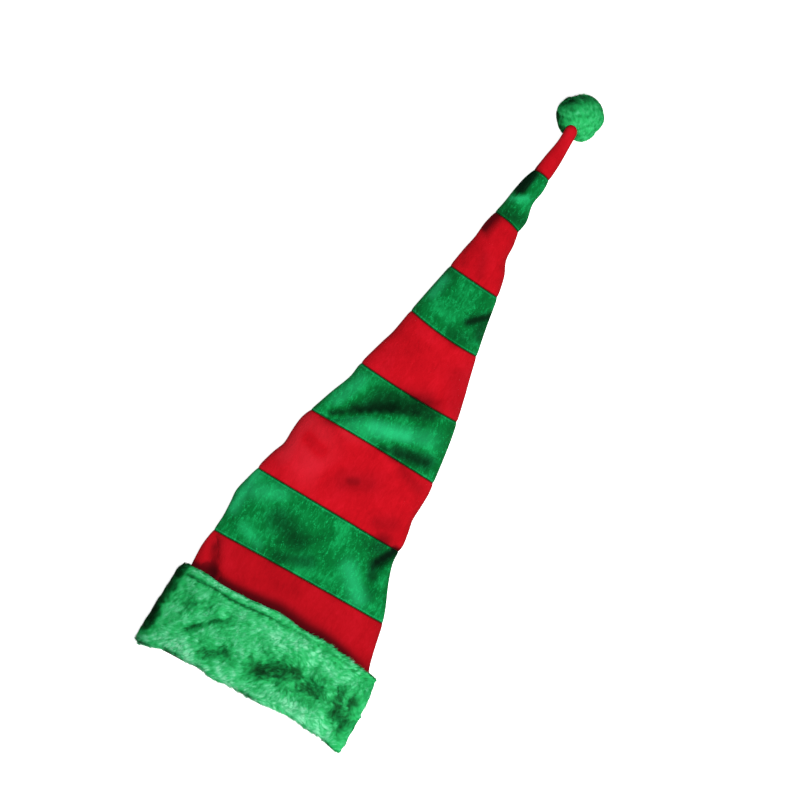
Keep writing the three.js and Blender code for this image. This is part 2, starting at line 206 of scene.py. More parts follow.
BENDS = table("at lean bow", [
    (0.0, -0.028, 0.055),
    (0.68, 0.014, 0.073),
    (1.0, -0.022, 0.012),
    (2.0, 0.005, 0.005),
    (3.0, 0.007, 0.011),
    (4.0, 0.012, -0.017),
    (5.0, 0.03, -0.025),
    (6.0, 0.016, -0.006),
    (7.0, 0.025, 0.012),
    (8.0, 0.009, 0.009),
    (9.0, 0, 0),
])
FOLD_COLUMNS = "from_at from_across to_at to_across width rise"
FOLDS = table(FOLD_COLUMNS, [
    (0.955, 0.95, 0.676, 0.763, 0.15, -0.12),
    (0.96, 0.443, 0.83, 0.247, 0.24, -0.055),
    (1.996, -0.559, 1.724, -0.501, 0.18, -0.13),
    (1.724, -0.501, 1.365, -0.53, 0.18, -0.13),
    (1.4, 0.32, 1.224, 0.167, 0.35, -0.076),
    (2.2, -0.494, 2.27, -0.276, 0.2, -0.055),
    (2.414, 0.174, 2.578, -0.029, 0.2, -0.065),
    (2.843, -0.174, 2.965, -0.32, 0.18, -0.055),
    (3.084, 0.552, 3.818, 0.145, 0.2, -0.14),
    (3.818, 0.145, 4.158, -0.189, 0.18, -0.087),
    (3.248, 0.073, 3.628, -0.399, 0.32, 0.087),
    (3.084, -0.203, 3.286, -0.45, 0.2, -0.087),
    (4.274, -0.203, 4.437, -0.334, 0.24, -0.055),
    (5.071, -0.073, 5.147, -0.203, 0.18, -0.065),
    (5.451, -0.087, 5.602, -0.189, 0.18, -0.065),
    (6.142, 0.26, 6.23, 0.305, 0.13, -0.065),
    (6.681, 0.218, 6.951, 0.174, 0.14, -0.087),
    (7.157, 0.073, 7.4, 0.116, 0.2, 0.055),
    (7.508, 0.153, 7.968, 0.087, 0.13, -0.12),
])
CUFF_DENTS = table(FOLD_COLUMNS, [
    (0.46, 0.458, 0.19, 0.787, 0.06, -0.3),
    (0.1, 0.5, 0.13, 0.4, 0.09, -0.17),
    (0.28, -0.05, 0.25, -0.18, 0.09, -0.17),
    (0.34, -0.45, 0.3, -0.58, 0.1, -0.2),
    (0.3, -0.87, 0.16, -0.93, 0.09, -0.2),
])
print("sections:", len(SECTIONS), "folds:", len(FOLDS), "dents of the cuff:", len(CUFF_DENTS))

# %% [markdown]
# The imported model holds the main folds. The cloth also has creases that are too fine for it. Most
# have one steep side, because the cloth leans over there. `steep` is the width of the side to the
# right of a crease, as a share of the side to its left. A shade is a patch of colour that is darker
# or lighter: partly nap that is brushed down or up, partly painted shade in folds, dents and along
# edges, and painted light where a side faces the light. The last tables shift the cuff's two edges,
# and say how far the red cloth shows past the mouth.

# %% Fine creases and brushed patches
CREASE_COLUMNS = FOLD_COLUMNS + " steep"
CREASES = table(CREASE_COLUMNS, [
    (0.9, 0.9, 0.69, 0.76, 0.2, -0.06, 0.9),
    (0.69, 0.86, 0.69, 0.752, 0.14, -0.14, 0.7),
    (1.97, -0.583, 1.809, -0.474, 0.15, -0.18, 0.5),
    (1.892, -0.458, 1.591, -0.463, 0.14, -0.11, 0.5),
    (1.591, -0.463, 1.365, -0.536, 0.12, -0.04, 0.6),
    (3.05, 0.6, 3.25, 0.476, 0.2, -0.1, 0.8),
    (3.25, 0.476, 3.68, 0.198, 0.28, -0.15, 0.8),
    (3.68, 0.198, 3.84, 0.0, 0.28, -0.12, 0.9),
    (5.431, -0.027, 5.606, -0.161, 0.10, -0.04, 0.5),
    (5.11, 0.014, 5.143, -0.146, 0.10, -0.03, 0.5),
    (7.968, 0.115, 7.713, 0.13, 0.10, -0.09, 0.5),
    (7.713, 0.13, 7.543, 0.12, 0.09, -0.08, 0.4),
])
CUFF_CREASES = table(CREASE_COLUMNS, [
    (0.42, 0.47, 0.359, 0.599, 0.035, -0.22, 0.6),
    (0.359, 0.599, 0.201, 0.755, 0.045, -0.2, 0.6),
    (0.507, 0.607, 0.421, 0.782, 0.04, -0.12, 0.7),
    (0.421, 0.782, 0.292, 0.97, 0.05, -0.12, 0.7),
    (0.133, 0.493, 0.211, 0.226, 0.07, -0.14, 0.8),
    (0.217, -0.005, 0.355, -0.357, 0.07, -0.14, 0.8),
    (0.244, -0.35, 0.197, -0.619, 0.08, -0.14, 0.8),
    (0.331, -0.782, 0.272, -0.952, 0.07, -0.12, 0.8),
    (0.534, -0.885, 0.326, -0.935, 0.03, -0.14, 1.6),
    (0.326, -0.935, 0.127, -0.968, 0.03, -0.14, 1.6),
])
# Shades of the cloth: partly nap brushed down or up, partly painted shade in folds, dents and along the
# left edges, and painted light where a side faces the light.
CLOTH_NAP_AND_PAINTED_SHADING = table(CREASE_COLUMNS, [
    (0.9, 0.9, 0.72, 0.79, 0.12, -0.3, 1),
    (0.72, 0.85, 0.69, 0.77, 0.1, -0.5, 1),
    (1.55, 0.5, 1.4, 0.25, 0.34, -0.38, 1),
    (1.08, 0.35, 1.25, 0.06, 0.2, -0.35, 1),
    (1.97, -0.56, 1.68, -0.46, 0.16, -1.0, 0.7),
    (2.0, -0.42, 1.9, -0.42, 0.24, -0.4, 1),
    (1.68, -0.45, 1.5, -0.5, 0.16, -0.45, 1),
    (1.15, -0.5, 1.45, -0.28, 0.24, 0.3, 1),
    (1.85, 0.6, 1.7, 0.85, 0.25, 0.22, 1),
    (1.35, 0.93, 1.9, 0.9, 0.18, 0.3, 1),
    (1.1, 0.55, 1.2, 0.75, 0.15, 0.15, 1),
    (2.455, 0.12, 2.5, 0.06, 0.17, -0.3, 0.9),
    (2.42, 0.18, 2.56, -0.03, 0.3, -0.15, 1),
    (2.35, 0.25, 2.6, -0.1, 0.4, -0.07, 1),
    (2.665, 0.641, 2.6, 0.5, 0.2, -0.12, 1),
    (2.18, -0.3, 2.25, -0.42, 0.24, -0.15, 1),
    (2.93, -0.244, 2.822, -0.458, 0.2, -0.15, 1),
    (2.35, 0.75, 2.85, 0.72, 0.3, 0.08, 1),
    (2.4, 0.5, 2.7, 0.6, 0.6, 0.08, 1),
    (3.1, 0.59, 3.33, 0.41, 0.1, -0.6, 0.6),
    (3.33, 0.41, 3.5, 0.26, 0.2, -0.82, 0.4),
    (3.5, 0.26, 3.66, 0.1, 0.36, -0.8, 0.22),
    (3.66, 0.1, 3.77, -0.06, 0.42, -0.62, 0.22),
    (3.7, 0.25, 3.95, -0.12, 0.34, -0.48, 1),
    (3.77, -0.06, 3.88, -0.22, 0.35, -0.4, 0.4),
    (3.26, 0.18, 3.4, -0.12, 0.24, 0.46, 1),
    (3.15, 0.35, 3.5, -0.3, 0.34, 0.2, 1),
    (3.35, 0.6, 3.8, 0.5, 0.22, 0.22, 1),
    (3.04, 0.03, 3.1, -0.12, 0.1, -0.45, 1),
    (3.1, -0.12, 3.2, -0.4, 0.24, -0.65, 0.8),
    (4.6, -0.25, 4.15, -0.35, 0.3, -0.1, 1),
    (5.3, -0.23, 5.46, -0.2, 0.2, -0.4, 1),
    (5.66, -0.23, 5.4, -0.08, 0.12, -0.7, 1),
    (5.11, 0.014, 5.143, -0.146, 0.2, -0.2, 1),
    (5.5, 0.34, 5.8, 0.32, 0.15, 0.25, 1),
    (7.0, 0.2, 6.75, 0.235, 0.12, -0.75, 1),
    (6.394, 0.112, 6.12, 0.05, 0.14, -0.12, 1),
    (7.6, 0.12, 7.93, 0.1, 0.2, -1.5, 0.5),
    (7.084, 0.134, 7.114, -0.039, 0.16, -0.25, 1),
    (7.5, 0.04, 7.412, 0.088, 0.12, 0.2, 1),
    (7.38, 0.16, 7.5, 0.04, 0.1, 0.3, 1),
    (8.05, 0.14, 8.95, 0.1, 0.07, -0.45, 1),
])
# Shades of the cuff's pile: partly matted tufts, partly painted shade in its creases and dents, and
# painted light on patches that face the light.
CUFF_NAP_AND_PAINTED_SHADING = table(CREASE_COLUMNS, [
    (0.42, 0.45, 0.2, 0.755, 0.045, -0.45, 1),
    (0.46, 0.65, 0.36, 0.9, 0.06, -0.25, 1),
    (0.1, 0.52, 0.19, 0.32, 0.09, -0.4, 1),
    (0.22, -0.02, 0.34, -0.3, 0.11, -0.8, 1),
    (0.29, -0.42, 0.3, -0.58, 0.12, -0.65, 1),
    (0.22, -0.86, 0.35, -0.78, 0.1, -0.7, 1),
    (0.4, -0.9, 0.127, -0.968, 0.04, -0.45, 1),
    (0.12, 0.75, 0.05, 0.6, 0.08, 0.2, 1),
    (0.1, -0.3, 0.12, -0.8, 0.06, 0.2, 1),
    (0.48, 0.15, 0.55, -0.3, 0.08, 0.12, 1),
])
MOUTH_EDGE = table("at shift", [
    (-1.1, -1), (-0.96, 0.5), (-0.83, 4.5), (-0.7, 3.6), (-0.55, 6), (-0.4, 6), (-0.3, 4),
    (-0.18, 1), (0, 1.5), (0.18, 1.5), (0.25, 0), (0.33, 0), (0.42, 3.5), (0.6, 4), (0.78, 5),
    (0.84, 4.6), (0.92, 1.5), (1, 0), (1.1, -1),
])
HEM_EDGE = table("at shift", [
    (-1.1, 3), (-0.9, 3), (-0.75, 2.5), (-0.4, 2.8), (-0.25, 0), (-0.1, 0.5), (0.1, 2), (0.25, 0),
    (0.5, -2), (0.7, 0), (0.85, 2.5), (1, 3.5), (1.1, 3.5),
])
RIM = table("at show", [
    (-1.1, -2), (-0.65, -1.5), (-0.55, 1), (-0.1, 1), (0, -1), (0.1, -0.5), (0.18, 0.8),
    (0.33, 0.8), (0.4, -0.5), (0.47, 0.9), (0.8, 0.9), (0.9, -1.5), (1.1, -2),
])
print("creases:", len(CREASES), "and on the cuff:", len(CUFF_CREASES))

# %% A point of the crown's surface
def station(at):
    """Distance from the mouth of a place counted in cloth rings."""
    ring = np.clip(np.floor(at).astype(int), 0, len(PANELS) - 1)
    return SEAMS[ring] + (at - ring) * LENGTHS[ring]


def place_of(x):
    """A place counted in cloth rings, from its distance to the mouth."""
    ring = np.clip(np.searchsorted(SEAMS, x, side="left") - 1, 0, len(PANELS) - 1)
    return ring + (x - SEAMS[ring]) / LENGTHS[ring]


def fold_heights(folds, width_unit, rise_unit, x, y):
    """Height of each fold of a table at a place of the hat, seen from above."""
    heights = []
    for fold in folds:
        from_x, from_y = station(np.float64(fold["from_at"])), fold["from_across"] * CROWN_HALF
        run_x = station(np.float64(fold["to_at"])) - from_x
        run_y = fold["to_across"] * CROWN_HALF - from_y
        along = ((x - from_x) * run_x + (y - from_y) * run_y) / (run_x**2 + run_y**2)
        share = np.clip(along, 0, 1)
        away = np.hypot(x - from_x - share * run_x, y - from_y - share * run_y)
        width = fold["width"] * width_unit
        if "steep" in folds.dtype.names:
            aside = ((y - from_y) * run_x - (x - from_x) * run_y) / math.hypot(run_x, run_y)
            width = width * (fold["steep"] + (1 - fold["steep"]) * smoothstep(aside, -0.5, 0.5))
        heights.append(fold["rise"] * rise_unit * np.exp(-((away / width) ** 2)))
    return np.array(heights)


def union(heights):
    """The lowest and the highest of all, so that rows which meet end to end do not add up."""
    return heights.min(axis=0, initial=0) + heights.max(axis=0, initial=0)


def seam_pull(x):
    """How far the seams pull the cloth in."""
    return sum(SEAM_DIP * np.exp(-2 * ((x - seam) / SEAM_REACH) ** 2) for seam in SEAMS[1:-1])


def underside(x):
    """Height of the crown's underside: on the cuff, then on the surface, then up on the pompom."""
    settled = smoothstep(x, CUFF_DEPTH, CUFF_DEPTH + SETTLE_LENGTH)
    climbed = smoothstep(x, SEAMS[-2] + SEAM_REACH, SEAMS[-1])
    return FOOT * (1 - settled) + TIP_RISE * climbed


def tip_shrink(at):
    into = np.clip((at - (len(PANELS) - TIP_ROUND)) / TIP_ROUND, 0, 1)
    return np.sqrt(1 - into**2)


def crown_points(at, turn, out=0.0, folded=True):
    """Points of the crown at places along it and turns round it, `out` from its surface."""
    at = np.asarray(at, float)[:, None]
    turn = np.asarray(turn, float)[None, :]
    shrink = tip_shrink(at)
    x = station(at)
    pull = seam_pull(x)
    left = sample(SECTIONS, "left", at) * CROWN_HALF
    right = sample(SECTIONS, "right", at) * CROWN_HALF
    thick = sample(SECTIONS, "thick", at) * CROWN_PUFF
    half = ((left + right) / 2 - pull * SIDE_PULL) * shrink + out
    across = np.cos(turn)
    over = turn <= math.pi
    roundness = np.where(over, TOP_ROUNDNESS, UNDER_ROUNDNESS)
    rise = (1 - np.abs(across) ** roundness) ** (1 / roundness)
    y = (left - right) / 2 + across * half
    lean = sample(BENDS, "lean", at) * CROWN_HALF
    bow = sample(BENDS, "bow", at) * CROWN_HALF
    bent_x = x + lean * across - bow * across**2
    centre = underside(x) + WIDEST * thick
    above = centre + (((1 - WIDEST) * thick - pull) * shrink + out) * rise
    below = centre - (WIDEST * thick * shrink + out) * np.minimum(1, rise * UNDER_PRESS)
    if folded:
        share = smoothstep(rise ** (TOP_ROUNDNESS / 2), 0, 0.55) * shrink
        above = above + share * fold_heights(FOLDS, CROWN_PUFF, CROWN_PUFF, x, y).sum(axis=0)
    return np.stack(np.broadcast_arrays(bent_x, y, np.where(over, above, below)), axis=-1)


def edge_shift(x, y):
    """How far the cuff's two edges wander along the hat."""
    across = y / CROWN_HALF
    mouth = sample(MOUTH_EDGE, "shift", across) * (1 - smoothstep(x, 0, CUFF_DEPTH / 2))
    return mouth + sample(HEM_EDGE, "shift", across) * smoothstep(x, CUFF_DEPTH / 2, CUFF_DEPTH)


# The tip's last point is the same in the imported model, so it says where the hat lies in the frame.
tip_node = frame["nodes"]["panel_9_red"].data.vertices
tip_in_frame = np.array(max((v.co for v in tip_node), key=lambda co: co.x))
TO_FRAME = tip_in_frame / MM - crown_points([len(PANELS)], [0])[0, 0]
print("hat's own origin in the frame, mm:", TO_FRAME.round(2))

# %% [markdown]
# ## From rings of points to a closed mesh
# A ring of cloth is a shell: its outer skin runs from one seam to the other, turns in, and runs back
# inside, so that the wall has the cloth's real thickness. One function joins such rings into quads.

# %% Meshes from rings
def new_object(name, data):
    """A new object of the scene with this mesh, light or camera."""
    thing = bpy.data.objects.new(name, data)
    bpy.context.scene.collection.objects.link(thing)
    return thing


def shell(name, rings, first=None, last=None):
    """A closed mesh through rings of points. With end points it closes there, and otherwise its
    last ring joins its first."""
    rings = np.asarray(rings)
    count = rings.shape[1]
    points = rings.reshape(-1, 3)
    closed = first is None
    here = np.arange(len(rings) if closed else len(rings) - 1)[:, None]
    there = (here + 1) % len(rings)
    column = np.arange(count)[None, :]
    side = (column + 1) % count
    quads = [here * count + column, here * count + side, there * count + side, there * count + column]
    faces = np.stack(quads, axis=-1).reshape(-1, 4).tolist()
    if not closed:
        points = np.vstack([points, first, last])
        start, end = len(points) - 2, len(points) - 1
        top = (len(rings) - 1) * count
        faces += [(start, (i + 1) % count, i) for i in range(count)]
        faces += [(end, top + i, top + (i + 1) % count) for i in range(count)]
    mesh = bpy.data.meshes.new(name)
    mesh.from_pydata(((points + TO_FRAME) * MM).tolist(), [], faces)
    mesh.polygons.foreach_set("use_smooth", [True] * len(mesh.polygons))
    mesh.update()
    return new_object(name, mesh)


def triangles(piece):
    piece.data.calc_loop_triangles()
    return len(piece.data.loop_triangles)


def turns(over, under):
    """Turns round a section: `over` of them over the top and `under` of them below."""
    top = np.linspace(0, math.pi, over, endpoint=False)
    return np.concatenate([top, np.linspace(math.pi, 2 * math.pi, under, endpoint=False)])


# %% [markdown]
# ## Colours and nodes
# Velour and plush are polyester pile. Light enters between the fibres, so the cloth looks darker
# where the nap leans away and lighter where it is brushed up. Colours are written as sRGB hex and
# turned to linear light once. One function adds a node of any kind, for materials and for geometry,
# and short ones call it for the nodes that are needed most.

# %% Colour and node helpers
def linear(colour):
    """Linear RGBA of an sRGB hex colour."""
    parts = [int(colour[i : i + 2], 16) / 255 for i in (1, 3, 5)]
    return tuple(c / 12.92 if c <= 0.04045 else ((c + 0.055) / 1.055) ** 2.4 for c in parts) + (1,)


def add(tree, kind, inputs=None, **settings):
    """A new node with its settings, whose inputs are values or other nodes' outputs."""
    node = tree.nodes.new(kind)
    for name, value in settings.items():
        setattr(node, name, value)
    for key, value in (inputs or {}).items():
        if isinstance(value, bpy.types.NodeSocket):
            tree.links.new(value, node.inputs[key])
        else:
            node.inputs[key].default_value = value
    return node


def maths(tree, operation, *values, **settings):
    """Output of a node that works out one step with numbers."""
    inputs = dict(enumerate(values))
    return add(tree, "ShaderNodeMath", inputs, operation=operation, **settings).outputs[0]


def arrows(tree, operation, first, second):
    """Output of a node that adds or subtracts two arrows, or scales one."""
    inputs = {0: first, "Scale" if operation == "SCALE" else 1: second}
    return add(tree, "ShaderNodeVectorMath", inputs, operation=operation).outputs[0]


def blend(tree, share, first, second):
    """Output of a node that mixes two colours."""
    inputs = {"Factor": share, 6: first, 7: second}
    return add(tree, "ShaderNodeMix", inputs, data_type="RGBA").outputs[2]


def painted(tree, name):
    """Output of a node that gives a material the numbers stored under this name."""
    return add(tree, "ShaderNodeAttribute", attribute_name=name).outputs["Fac"]


def stored(tree, name, kind="FLOAT"):
    """The same for a tree of geometry nodes."""
    reader = add(tree, "GeometryNodeInputNamedAttribute", {"Name": name}, data_type=kind)
    return reader.outputs["Attribute"]


def per_metre(size):
    """Scale of a texture whose features are `size` millimetres wide."""
    return 1 / (size * MM)


def new_material(name):
    material = bpy.data.materials.new(name)
    material.use_nodes = True
    material.node_tree.nodes.clear()
    return material


# %% Velour
SEEN_POWER = 2.2  # from brightness as the eye sees it to linear light

# Polyester velour: a knitted ground with a nap about 1 mm high. It is matt, with a soft light rim
# where the nap is seen from its side, and its nap lies in patches that catch the light differently.
def velour(name, deep, dark, mid, light, bright, rim, patch, contrast, hair):
    material = new_material(name)
    tree = material.node_tree
    place = add(tree, "ShaderNodeTexCoord").outputs["Object"]
    patches = add(tree, "ShaderNodeTexNoise", {
        "Vector": place, "Scale": per_metre(patch), "Detail": 3, "Roughness": 0.5, "Distortion": 0.5,
    })
    lying = add(tree, "ShaderNodeMapping", {
        "Vector": place, "Rotation": (0, 0, math.radians(-38)), "Scale": (1, 2.4, 1),
    })
    strokes = add(tree, "ShaderNodeTexNoise", {
        "Vector": lying.outputs[0], "Scale": per_metre(STROKE), "Detail": 4, "Roughness": 0.6,
        "Distortion": 1.2,
    })
    both = add(tree, "ShaderNodeMix", {"Factor": 0.42, 2: patches.outputs[0], 3: strokes.outputs[0]})
    level = add(tree, "ShaderNodeMapRange", {
        "Value": both.outputs[0], "From Min": 0.5 - contrast, "From Max": 0.5 + contrast,
    }, clamp=False)
    curls = add(tree, "ShaderNodeTexNoise", {
        "Vector": place, "Scale": per_metre(HAIR_CURL), "Detail": 1, "Distortion": 2.5,
    })
    off_line = maths(tree, "SUBTRACT", curls.outputs[0], 0.5)
    strand = add(tree, "ShaderNodeMapRange", {
        "Value": maths(tree, "ABSOLUTE", off_line), "From Max": 0.045, "To Min": hair, "To Max": 0.0,
    })
    loose = add(tree, "ShaderNodeMapRange", {
        "Value": strokes.outputs[0], "From Min": 0.5, "From Max": 0.62,
    })
    hairs = maths(tree, "MULTIPLY", strand.outputs[0], loose.outputs[0])
    tint = add(tree, "ShaderNodeValToRGB", {0: maths(tree, "ADD", level.outputs[0], hairs)})
    ramp = tint.color_ramp
    ramp.elements[0].color = linear(dark)
    ramp.elements[1].color = linear(light)
    ramp.elements.new(0.5).color = linear(mid)
    # These numbers darken the cloth towards `deep` or lighten it towards `bright`: partly brushed nap,
    # partly painted shade in folds, dents and seams, a painted shadow below the cuff, and painted light on
    # lit sides and seam edges.
    nap_and_painted_shading = painted(tree, "nap_and_painted_shading")
    as_seen = maths(tree, "POWER", maths(tree, "ADD", nap_and_painted_shading, 1.0, use_clamp=True), SEEN_POWER)
    deepened = blend(tree, as_seen, linear(deep), tint.outputs[0])
    shade = blend(tree, nap_and_painted_shading, deepened, linear(bright))
    nap = add(tree, "ShaderNodeTexNoise", {
        "Vector": lying.outputs[0], "Scale": per_metre(NAP_GRAIN), "Detail": 2,
    })
    relief = maths(tree, "ADD", nap.outputs[0], strokes.outputs[0])
    bump = add(tree, "ShaderNodeBump", {
        "Height": relief, "Strength": 0.5, "Distance": NAP_HEIGHT * MM,
    })
    cloth = add(tree, "ShaderNodeBsdfPrincipled", {
        "Base Color": shade, "Roughness": 0.9, "Specular IOR Level": 0.06,
        "Sheen Weight": 0.12, "Sheen Roughness": 0.4, "Sheen Tint": linear(rim),
        "Normal": bump.outputs[0],
    })
    add(tree, "ShaderNodeOutputMaterial", {"Surface": cloth.outputs[0]})
    return material


STROKE = 11
HAIR_CURL = 9
NAP_GRAIN = 1.1  # a tuft of nap is finer, about 0.4 mm, and this is what still shows
NAP_HEIGHT = 0.8
red_velour = velour(
    "red_velour", "#380004", "#90020c", "#a80714", "#b90f1f", "#ff5064", "#ff2030", 45, 0.28, 0.12)
green_velour = velour(
    "green_velour", "#001206", "#003e17", "#006229", "#0c8e4a", "#2ccf86", "#20ff80", 34, 0.22, 1.1)
print("materials:", red_velour.name, green_velour.name)

# %% [markdown]
# ## The nine cloth rings
# Where two rings are sewn together, the thread pulls the cloth in and puckers it, and each edge
# rolls into the seam. Between the seams the cloth keeps soft crumples from being folded in a bag.
# So the outer skin gets the folds of the table, fine crumples, and puckers that fade out from the
# seams. The crumples stop below the cuff, which presses the cloth flat.

# %% Fine relief of the cloth
ROW_STEP = 1.8
SEAM_ROLL = 1.9
ROLL_ROWS = np.array([0, 0.08, 0.3, 0.62])  # places of the rows in the roll, as parts of it
SIDE_ROLL = 0.35
PUCKER_LENGTH = 11
PUCKER_SPACING = 9


def crumple(x, y):
    """Height of the fine crumples and puckers of the crown's upper side."""
    soft = 0.55 * ripples(x, y, 60, 11) + 0.28 * ripples(x, y, 24, 12)
    nearest = np.min([np.abs(x - seam) for seam in SEAMS[1:-1]], axis=0)
    pucker = 0.35 * ripples(0 * x, y, PUCKER_SPACING, 13) * ripples(x, y, 50, 14)
    free = smoothstep(x, CUFF_DEPTH, CUFF_DEPTH + 12) * (1 - smoothstep(x, SEAMS[-2], SEAMS[-1]))
    creases = union(fold_heights(CREASES, CROWN_PUFF, CROWN_PUFF, x, y))
    return free * (soft + pucker * np.exp(-nearest / PUCKER_LENGTH)) + creases


def seam_rows(start, end, steps):
    """Rows between two seams, closer together where the cloth rolls into them."""
    roll = SEAM_ROLL * ROLL_ROWS
    middle = np.linspace(start + SEAM_ROLL, end - SEAM_ROLL, steps)
    return np.concatenate([start + roll, middle, end - roll[::-1]])


def rolled(x, start, end):
    """How far the edges of a ring roll in at its seams."""
    from_edge = np.clip(np.minimum(x - start, end - x) / SEAM_ROLL, 0, 1)
    return SEAM_ROLL * (1 - np.sqrt(1 - (1 - from_edge) ** 2))


def cloth_ring(index, over, under):
    name, _ = PANELS[index]
    is_first, is_last = index == 0, index == len(PANELS) - 1
    start = -HEM_SHOW if is_first else SEAMS[index] + SEWN_GAP / 2
    end = SEAMS[index + 1] - (0 if is_last else SEWN_GAP / 2)
    around = turns(over, under)
    shown = CUFF_DEPTH - 12 if is_first else start
    steps = round((end - shown) / ROW_STEP)
    if is_first:
        hidden = np.linspace(start, shown, 14, endpoint=False)
        into_seam = end - SEAM_ROLL * ROLL_ROWS[::-1]
        rows = np.concatenate([hidden, np.linspace(shown, end - SEAM_ROLL, steps), into_seam])
        inward = rolled(rows, start - SEAM_ROLL, end)
    elif is_last:
        near_tip = station(len(PANELS) - TIP_ROUND * (1 - np.array([0, 0.35, 0.6, 0.8, 0.92, 0.98])))
        rows = np.concatenate([seam_rows(start, near_tip[0], steps)[:-4], near_tip])
        inward = rolled(rows, start, end + SEAM_ROLL)
    else:
        rows = seam_rows(start, end, steps)
        inward = rolled(rows, start, end)
    up = np.clip(np.sin(around), 0, 1)[None, :]
    roll = SIDE_ROLL + (1 - SIDE_ROLL) * smoothstep(up, 0.1, 0.5)
    outer = crown_points(place_of(rows), around, -inward[:, None] * roll)
    outer[..., 2] += smoothstep(up, 0, 0.5) * crumple(outer[..., 0], outer[..., 1])
    if is_last:
        inner_rows = rows[(rows > start + 1) & (rows <= near_tip[0])][::3]
    else:
        inner_rows = np.concatenate([[start], np.linspace(start + 3, end - 3, 12), [end]])
    inset = CLOTH_WALL + 0.4 * (not is_first)
    inner = crown_points(place_of(inner_rows), around, -inset)
    if is_first:
        for skin in (outer, inner):
            x, y = skin[..., 0].copy(), skin[..., 1]
            at_mouth = 1 - smoothstep(x, 5, 30)
            shown_rim = sample(RIM, "show", y / CROWN_HALF) - 1
            skin[..., 0] += edge_shift(x, y) * (x < CUFF_DEPTH / 2) - at_mouth * shown_rim
    if not is_last:
        from_mouth = np.repeat(np.concatenate([rows, inner_rows[::-1]]), len(around))
        return shell(name + "_cloth", np.concatenate([outer, inner[::-1]])), from_mouth
    from_mouth = np.repeat(np.concatenate([inner_rows[::-1], rows]), len(around))
    from_mouth = np.concatenate([from_mouth, [end, end]])
    inner_end = inner[-1].mean(axis=0) + [CLOTH_WALL, 0, 0]
    outer_end = crown_points([len(PANELS)], [0])[0, 0]
    return shell(name + "_cloth", np.concatenate([inner[::-1], outer]), inner_end, outer_end), from_mouth


def mark(piece, name, values):
    """Stores a number or an arrow for each point of a piece's mesh."""
    kind, key = ("FLOAT_VECTOR", "vector") if values.ndim == 2 else ("FLOAT", "value")
    attribute = piece.data.attributes.new(name, kind, "POINT")
    attribute.data.foreach_set(key, values.astype(np.float32).ravel())


def read_points(piece, key):
    """The places or the normals of the points of a piece's mesh, one number after the other."""
    values = np.zeros(len(piece.data.vertices) * 3, np.float32)
    piece.data.vertices.foreach_get(key, values)
    return values


def own_points(piece):
    """The points of a piece's mesh in the hat's own millimetres."""
    return read_points(piece, "co").reshape(-1, 3) / MM - TO_FRAME


def flat_cut(index):
    """Width, length and area of the flat cut that a ring of cloth is sewn from, in metres."""
    at = np.linspace(index, index + 1, 9)
    points = crown_points(at, turns(60, 40), 0, False)
    steps = np.linalg.norm(points - np.roll(points, 1, axis=1), axis=2)
    girth = steps.sum(axis=1) * MM
    length = LENGTHS[index] * MM
    return girth.max(), length, girth.mean() * length


# Painted shading on the rings: the first ring is painted darker because its nap lies away from the light,
# a painted shadow lies below the cuff's hem, painted shade lies in the seams, and a painted highlight on
# the rolled edges of the green rings.
FIRST_DARKER = 0.1  # the nap of the first ring lies away from the light
HEM_DARKER = 0.68  # little light gets between the cuff's hem and the crown
SEAM_DARKER = 0.55  # or into the seams
SEAM_LIGHTER = 0.2  # but the rolled edges of the green rings catch it
COLUMNS = [(230, 72), (230, 72), (220, 66), (200, 60), (170, 52), (140, 44), (110, 36), (84, 28), (60, 22)]
cloth = []
for index, (over, under) in enumerate(COLUMNS):
    piece, from_mouth = cloth_ring(index, over, under)
    name = PANELS[index][0]
    piece.data.materials.append(red_velour if name.endswith("red") else green_velour)
    x, y, z = own_points(piece).T
    nap_and_painted_shading = union(fold_heights(CLOTH_NAP_AND_PAINTED_SHADING, CROWN_PUFF, 1, x, y)) - FIRST_DARKER * (index == 0)
    # A painted shadow of the cuff's hem on the first ring, strongest near the hem.
    from_hem = from_mouth - CUFF_DEPTH - sample(HEM_EDGE, "shift", y / CROWN_HALF)
    reach = 6 + 4 * np.exp(-(((y + 10) / 70) ** 2))
    near_hem = np.exp(-((np.maximum(from_hem - 1, 0) / reach) ** 2)) * (1 - 0.5 * smoothstep(-y, 85, 125))
    nap_and_painted_shading -= HEM_DARKER * near_hem * (index == 0)
    # Painted shade in each seam, and a painted highlight just beside it on the green rings.
    from_seam = np.min([np.abs(from_mouth - seam) for seam in SEAMS[1:-1]], axis=0)
    caught = SEAM_LIGHTER * np.exp(-(((from_seam - 2) / 0.9) ** 2))
    nap_and_painted_shading += caught * (index % 2) - SEAM_DARKER * np.exp(-((from_seam / 1) ** 2))
    mark(piece, "nap_and_painted_shading", np.where(z > underside(x) + CLOTH_WALL * 2, nap_and_painted_shading, 0))
    cloth.append(piece)
    print(piece.name, triangles(piece), "triangles, flat cut", [round(v, 3) for v in flat_cut(index)])

# %% [markdown]
# ## Pile that is made of fibres
# Deep pile can't be painted on: its edge against the white floor is furry, and its light and dark
# streaks come from fibres that lean together. Geometry Nodes scatter thin pointed blades over a
# base mesh. A blade is one triangle, so that a piece can hold nearly 200,000 of them, and it faces
# any way round. Each leans along the base's `nap` arrows and towards the middle of its tuft, as
# brushed plush does. A blade keeps its tone and its height, so the material can darken its root.

# %% The tree that grows pile
SHORTEST_BLADE = 0.7  # lengths of single blades, as parts of the pile's length
LONGEST_BLADE = 1.15


